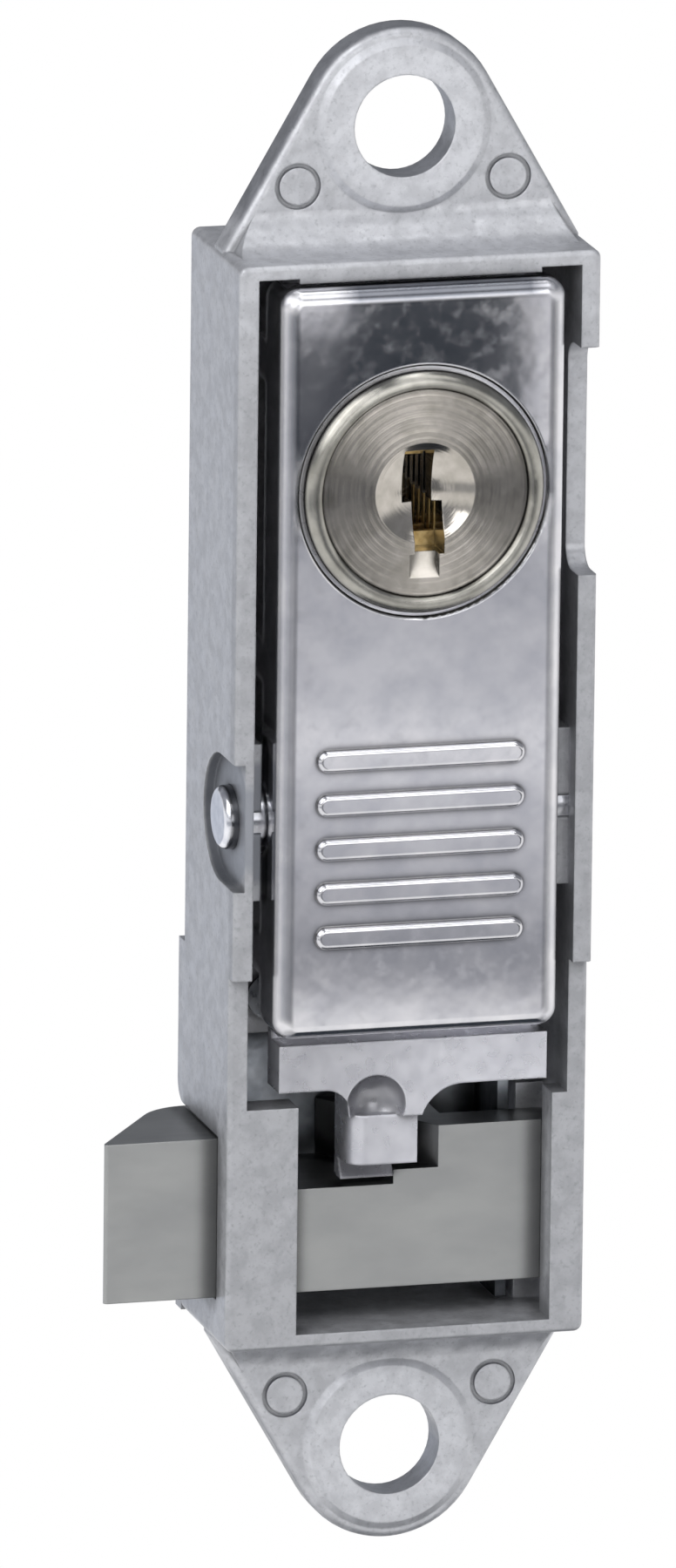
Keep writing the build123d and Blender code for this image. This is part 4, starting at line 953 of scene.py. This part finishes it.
plated_sheet = make_steel(
    "plated_sheet", tone(186, 190, 196), tone(160, 165, 172), size=1.4, gloss=(0.30, 0.45), edge=0.12
)
plated_steel = make_steel(
    "plated_steel", tone(196, 199, 204), tone(170, 174, 180), size=0.8, gloss=(0.25, 0.38), edge=0.10
)
pin_steel = make_steel(
    "pin_steel", tone(246, 247, 252), tone(226, 228, 236), 0.9, (0.16, 0.26), 0.10, stretch=ALONG_X
)
spring_wire = make_steel(
    "spring_wire", tone(150, 150, 152), tone(120, 121, 124), 0.6, (0.24, 0.36), 0.05, stretch=ALONG_X
)
for piece_name in ("back_plate", "cylinder_clip", "lock_cam"):
    wear(piece_name, plated_sheet)
for piece_name in ("plate_rivets", "cam_washer", "cam_screw"):
    wear(piece_name, plated_steel)
for piece_name in ("bolt_spring", "handle_spring"):
    wear(piece_name, spring_wire)
wear("pivot_pin", pin_steel)
print("steel finishes", [m.name for m in (plated_sheet, plated_steel, pin_steel, spring_wire)])

# %% [markdown]
# Turned nickel
#
# The cylinder's shell and plug are turned brass with a satin nickel plate. The lathe tool leaves fine
# rings about the key's axis, which still show through the plate. Rings too fine to see one by one
# spread a reflection outwards and inwards but not along themselves. That is what an anisotropic gloss
# does, with its direction taken from a tangent that runs round the axis. The coarser rings are a
# height map that depends only on how far a point is from that axis. The small dish in the plug, round
# the keyhole, is turned with a finer feed, so it spreads light evenly.

# %% Nickel with the lathe's rings
SHELL_PALE = tone(176, 174, 167)
SHELL_DULL = tone(156, 154, 147)
PLUG_PALE = tone(202, 196, 188)
PLUG_DULL = tone(178, 173, 164)
TARNISH_SIZE = 1.6
RING_PITCH = 0.55
RING_DETAIL = 2.0
DISH_EDGES = (3.4, 3.6)
QUARTER_TURN = 0.25
shell_low, shell_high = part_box("cylinder_shell")
key_axis = (shell_low + shell_high) / 2


def make_turned_nickel(name, pale, dull, roughness, spreading, ring_depth, edge, dished=False):
    """Satin nickel over turned brass.

    spreading, from 0 to 1, is how strongly its fine rings spread light. They leave out the dish.
    """
    material, tree, shader = start_finish(name, pale, (roughness, roughness))
    clouds = spread(tree, grain(tree, TARNISH_SIZE, detail=5.0, seed=6.6), 0.0, 1.0)
    cloudy = mottle(tree, clouds, dull, pale)
    recess_shaded = paint_recess_shade(tree, cloudy, reach=1.2, darkest=0.2)
    tree.links.new(recess_shaded, shader.inputs["Base Color"])
    around = tree.nodes.new("ShaderNodeTangent")
    around.direction_type = "RADIAL"
    around.axis = "Y"
    tree.links.new(around.outputs["Tangent"], shader.inputs["Tangent"])
    shader.inputs["Anisotropic Rotation"].default_value = QUARTER_TURN
    shader.inputs["Anisotropic"].default_value = spreading
    distance = from_axis(tree, key_axis, (1, 0, 1))
    if dished:
        outside_dish = spread(tree, distance, 0.0, spreading, *DISH_EDGES)
        tree.links.new(outside_dish, shader.inputs["Anisotropic"])
    rings = tree.nodes.new("ShaderNodeTexNoise")
    rings.noise_dimensions = "1D"
    rings.inputs["Scale"].default_value = 1 / RING_PITCH
    rings.inputs["Detail"].default_value = RING_DETAIL
    tree.links.new(distance, rings.inputs["W"])
    turned = emboss(tree, rings.outputs["Fac"], ring_depth, ease_edges(tree, edge))
    tree.links.new(turned, shader.inputs["Normal"])
    return material


satin_nickel = make_turned_nickel(
    "satin_nickel", SHELL_PALE, SHELL_DULL, roughness=0.17, spreading=0.15, ring_depth=0.004, edge=0.45
)
plug_nickel = make_turned_nickel(
    "plug_nickel", PLUG_PALE, PLUG_DULL, roughness=0.16, spreading=0.97, ring_depth=0.022, edge=0.1,
    dished=True,
)
wear("cylinder_shell", satin_nickel)
wear("plug", plug_nickel)
print("key axis at", [round(c * 1000, 2) for c in key_axis])

# %% [markdown]
# Brass wafers
#
# Five thin brass plates lie across the plug, and the key reads them through the keyway. Only their
# inner edges show, deep in the slot, as a warm glint. No painted shade is laid in their recesses: the
# slot is so deep that it would hide the glint.

# %% The wafers' brass
BRASS_PALE = tone(226, 198, 140)
BRASS_DULL = tone(196, 164, 106)
wafer_brass = make_steel(
    "wafer_brass", BRASS_PALE, BRASS_DULL, size=0.5, gloss=(0.28, 0.42), edge=0.05, darkest=1.0
)
for piece_name in sorted(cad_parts):
    if piece_name.startswith("wafer_"):
        wear(piece_name, wafer_brass)
print("finish", wafer_brass.name)

# %% [markdown]
# The end
#
# The picture is shown without any film look, so that a colour comes out as it is written.

# %% No film look
bpy.context.scene.view_settings.view_transform = "Standard"
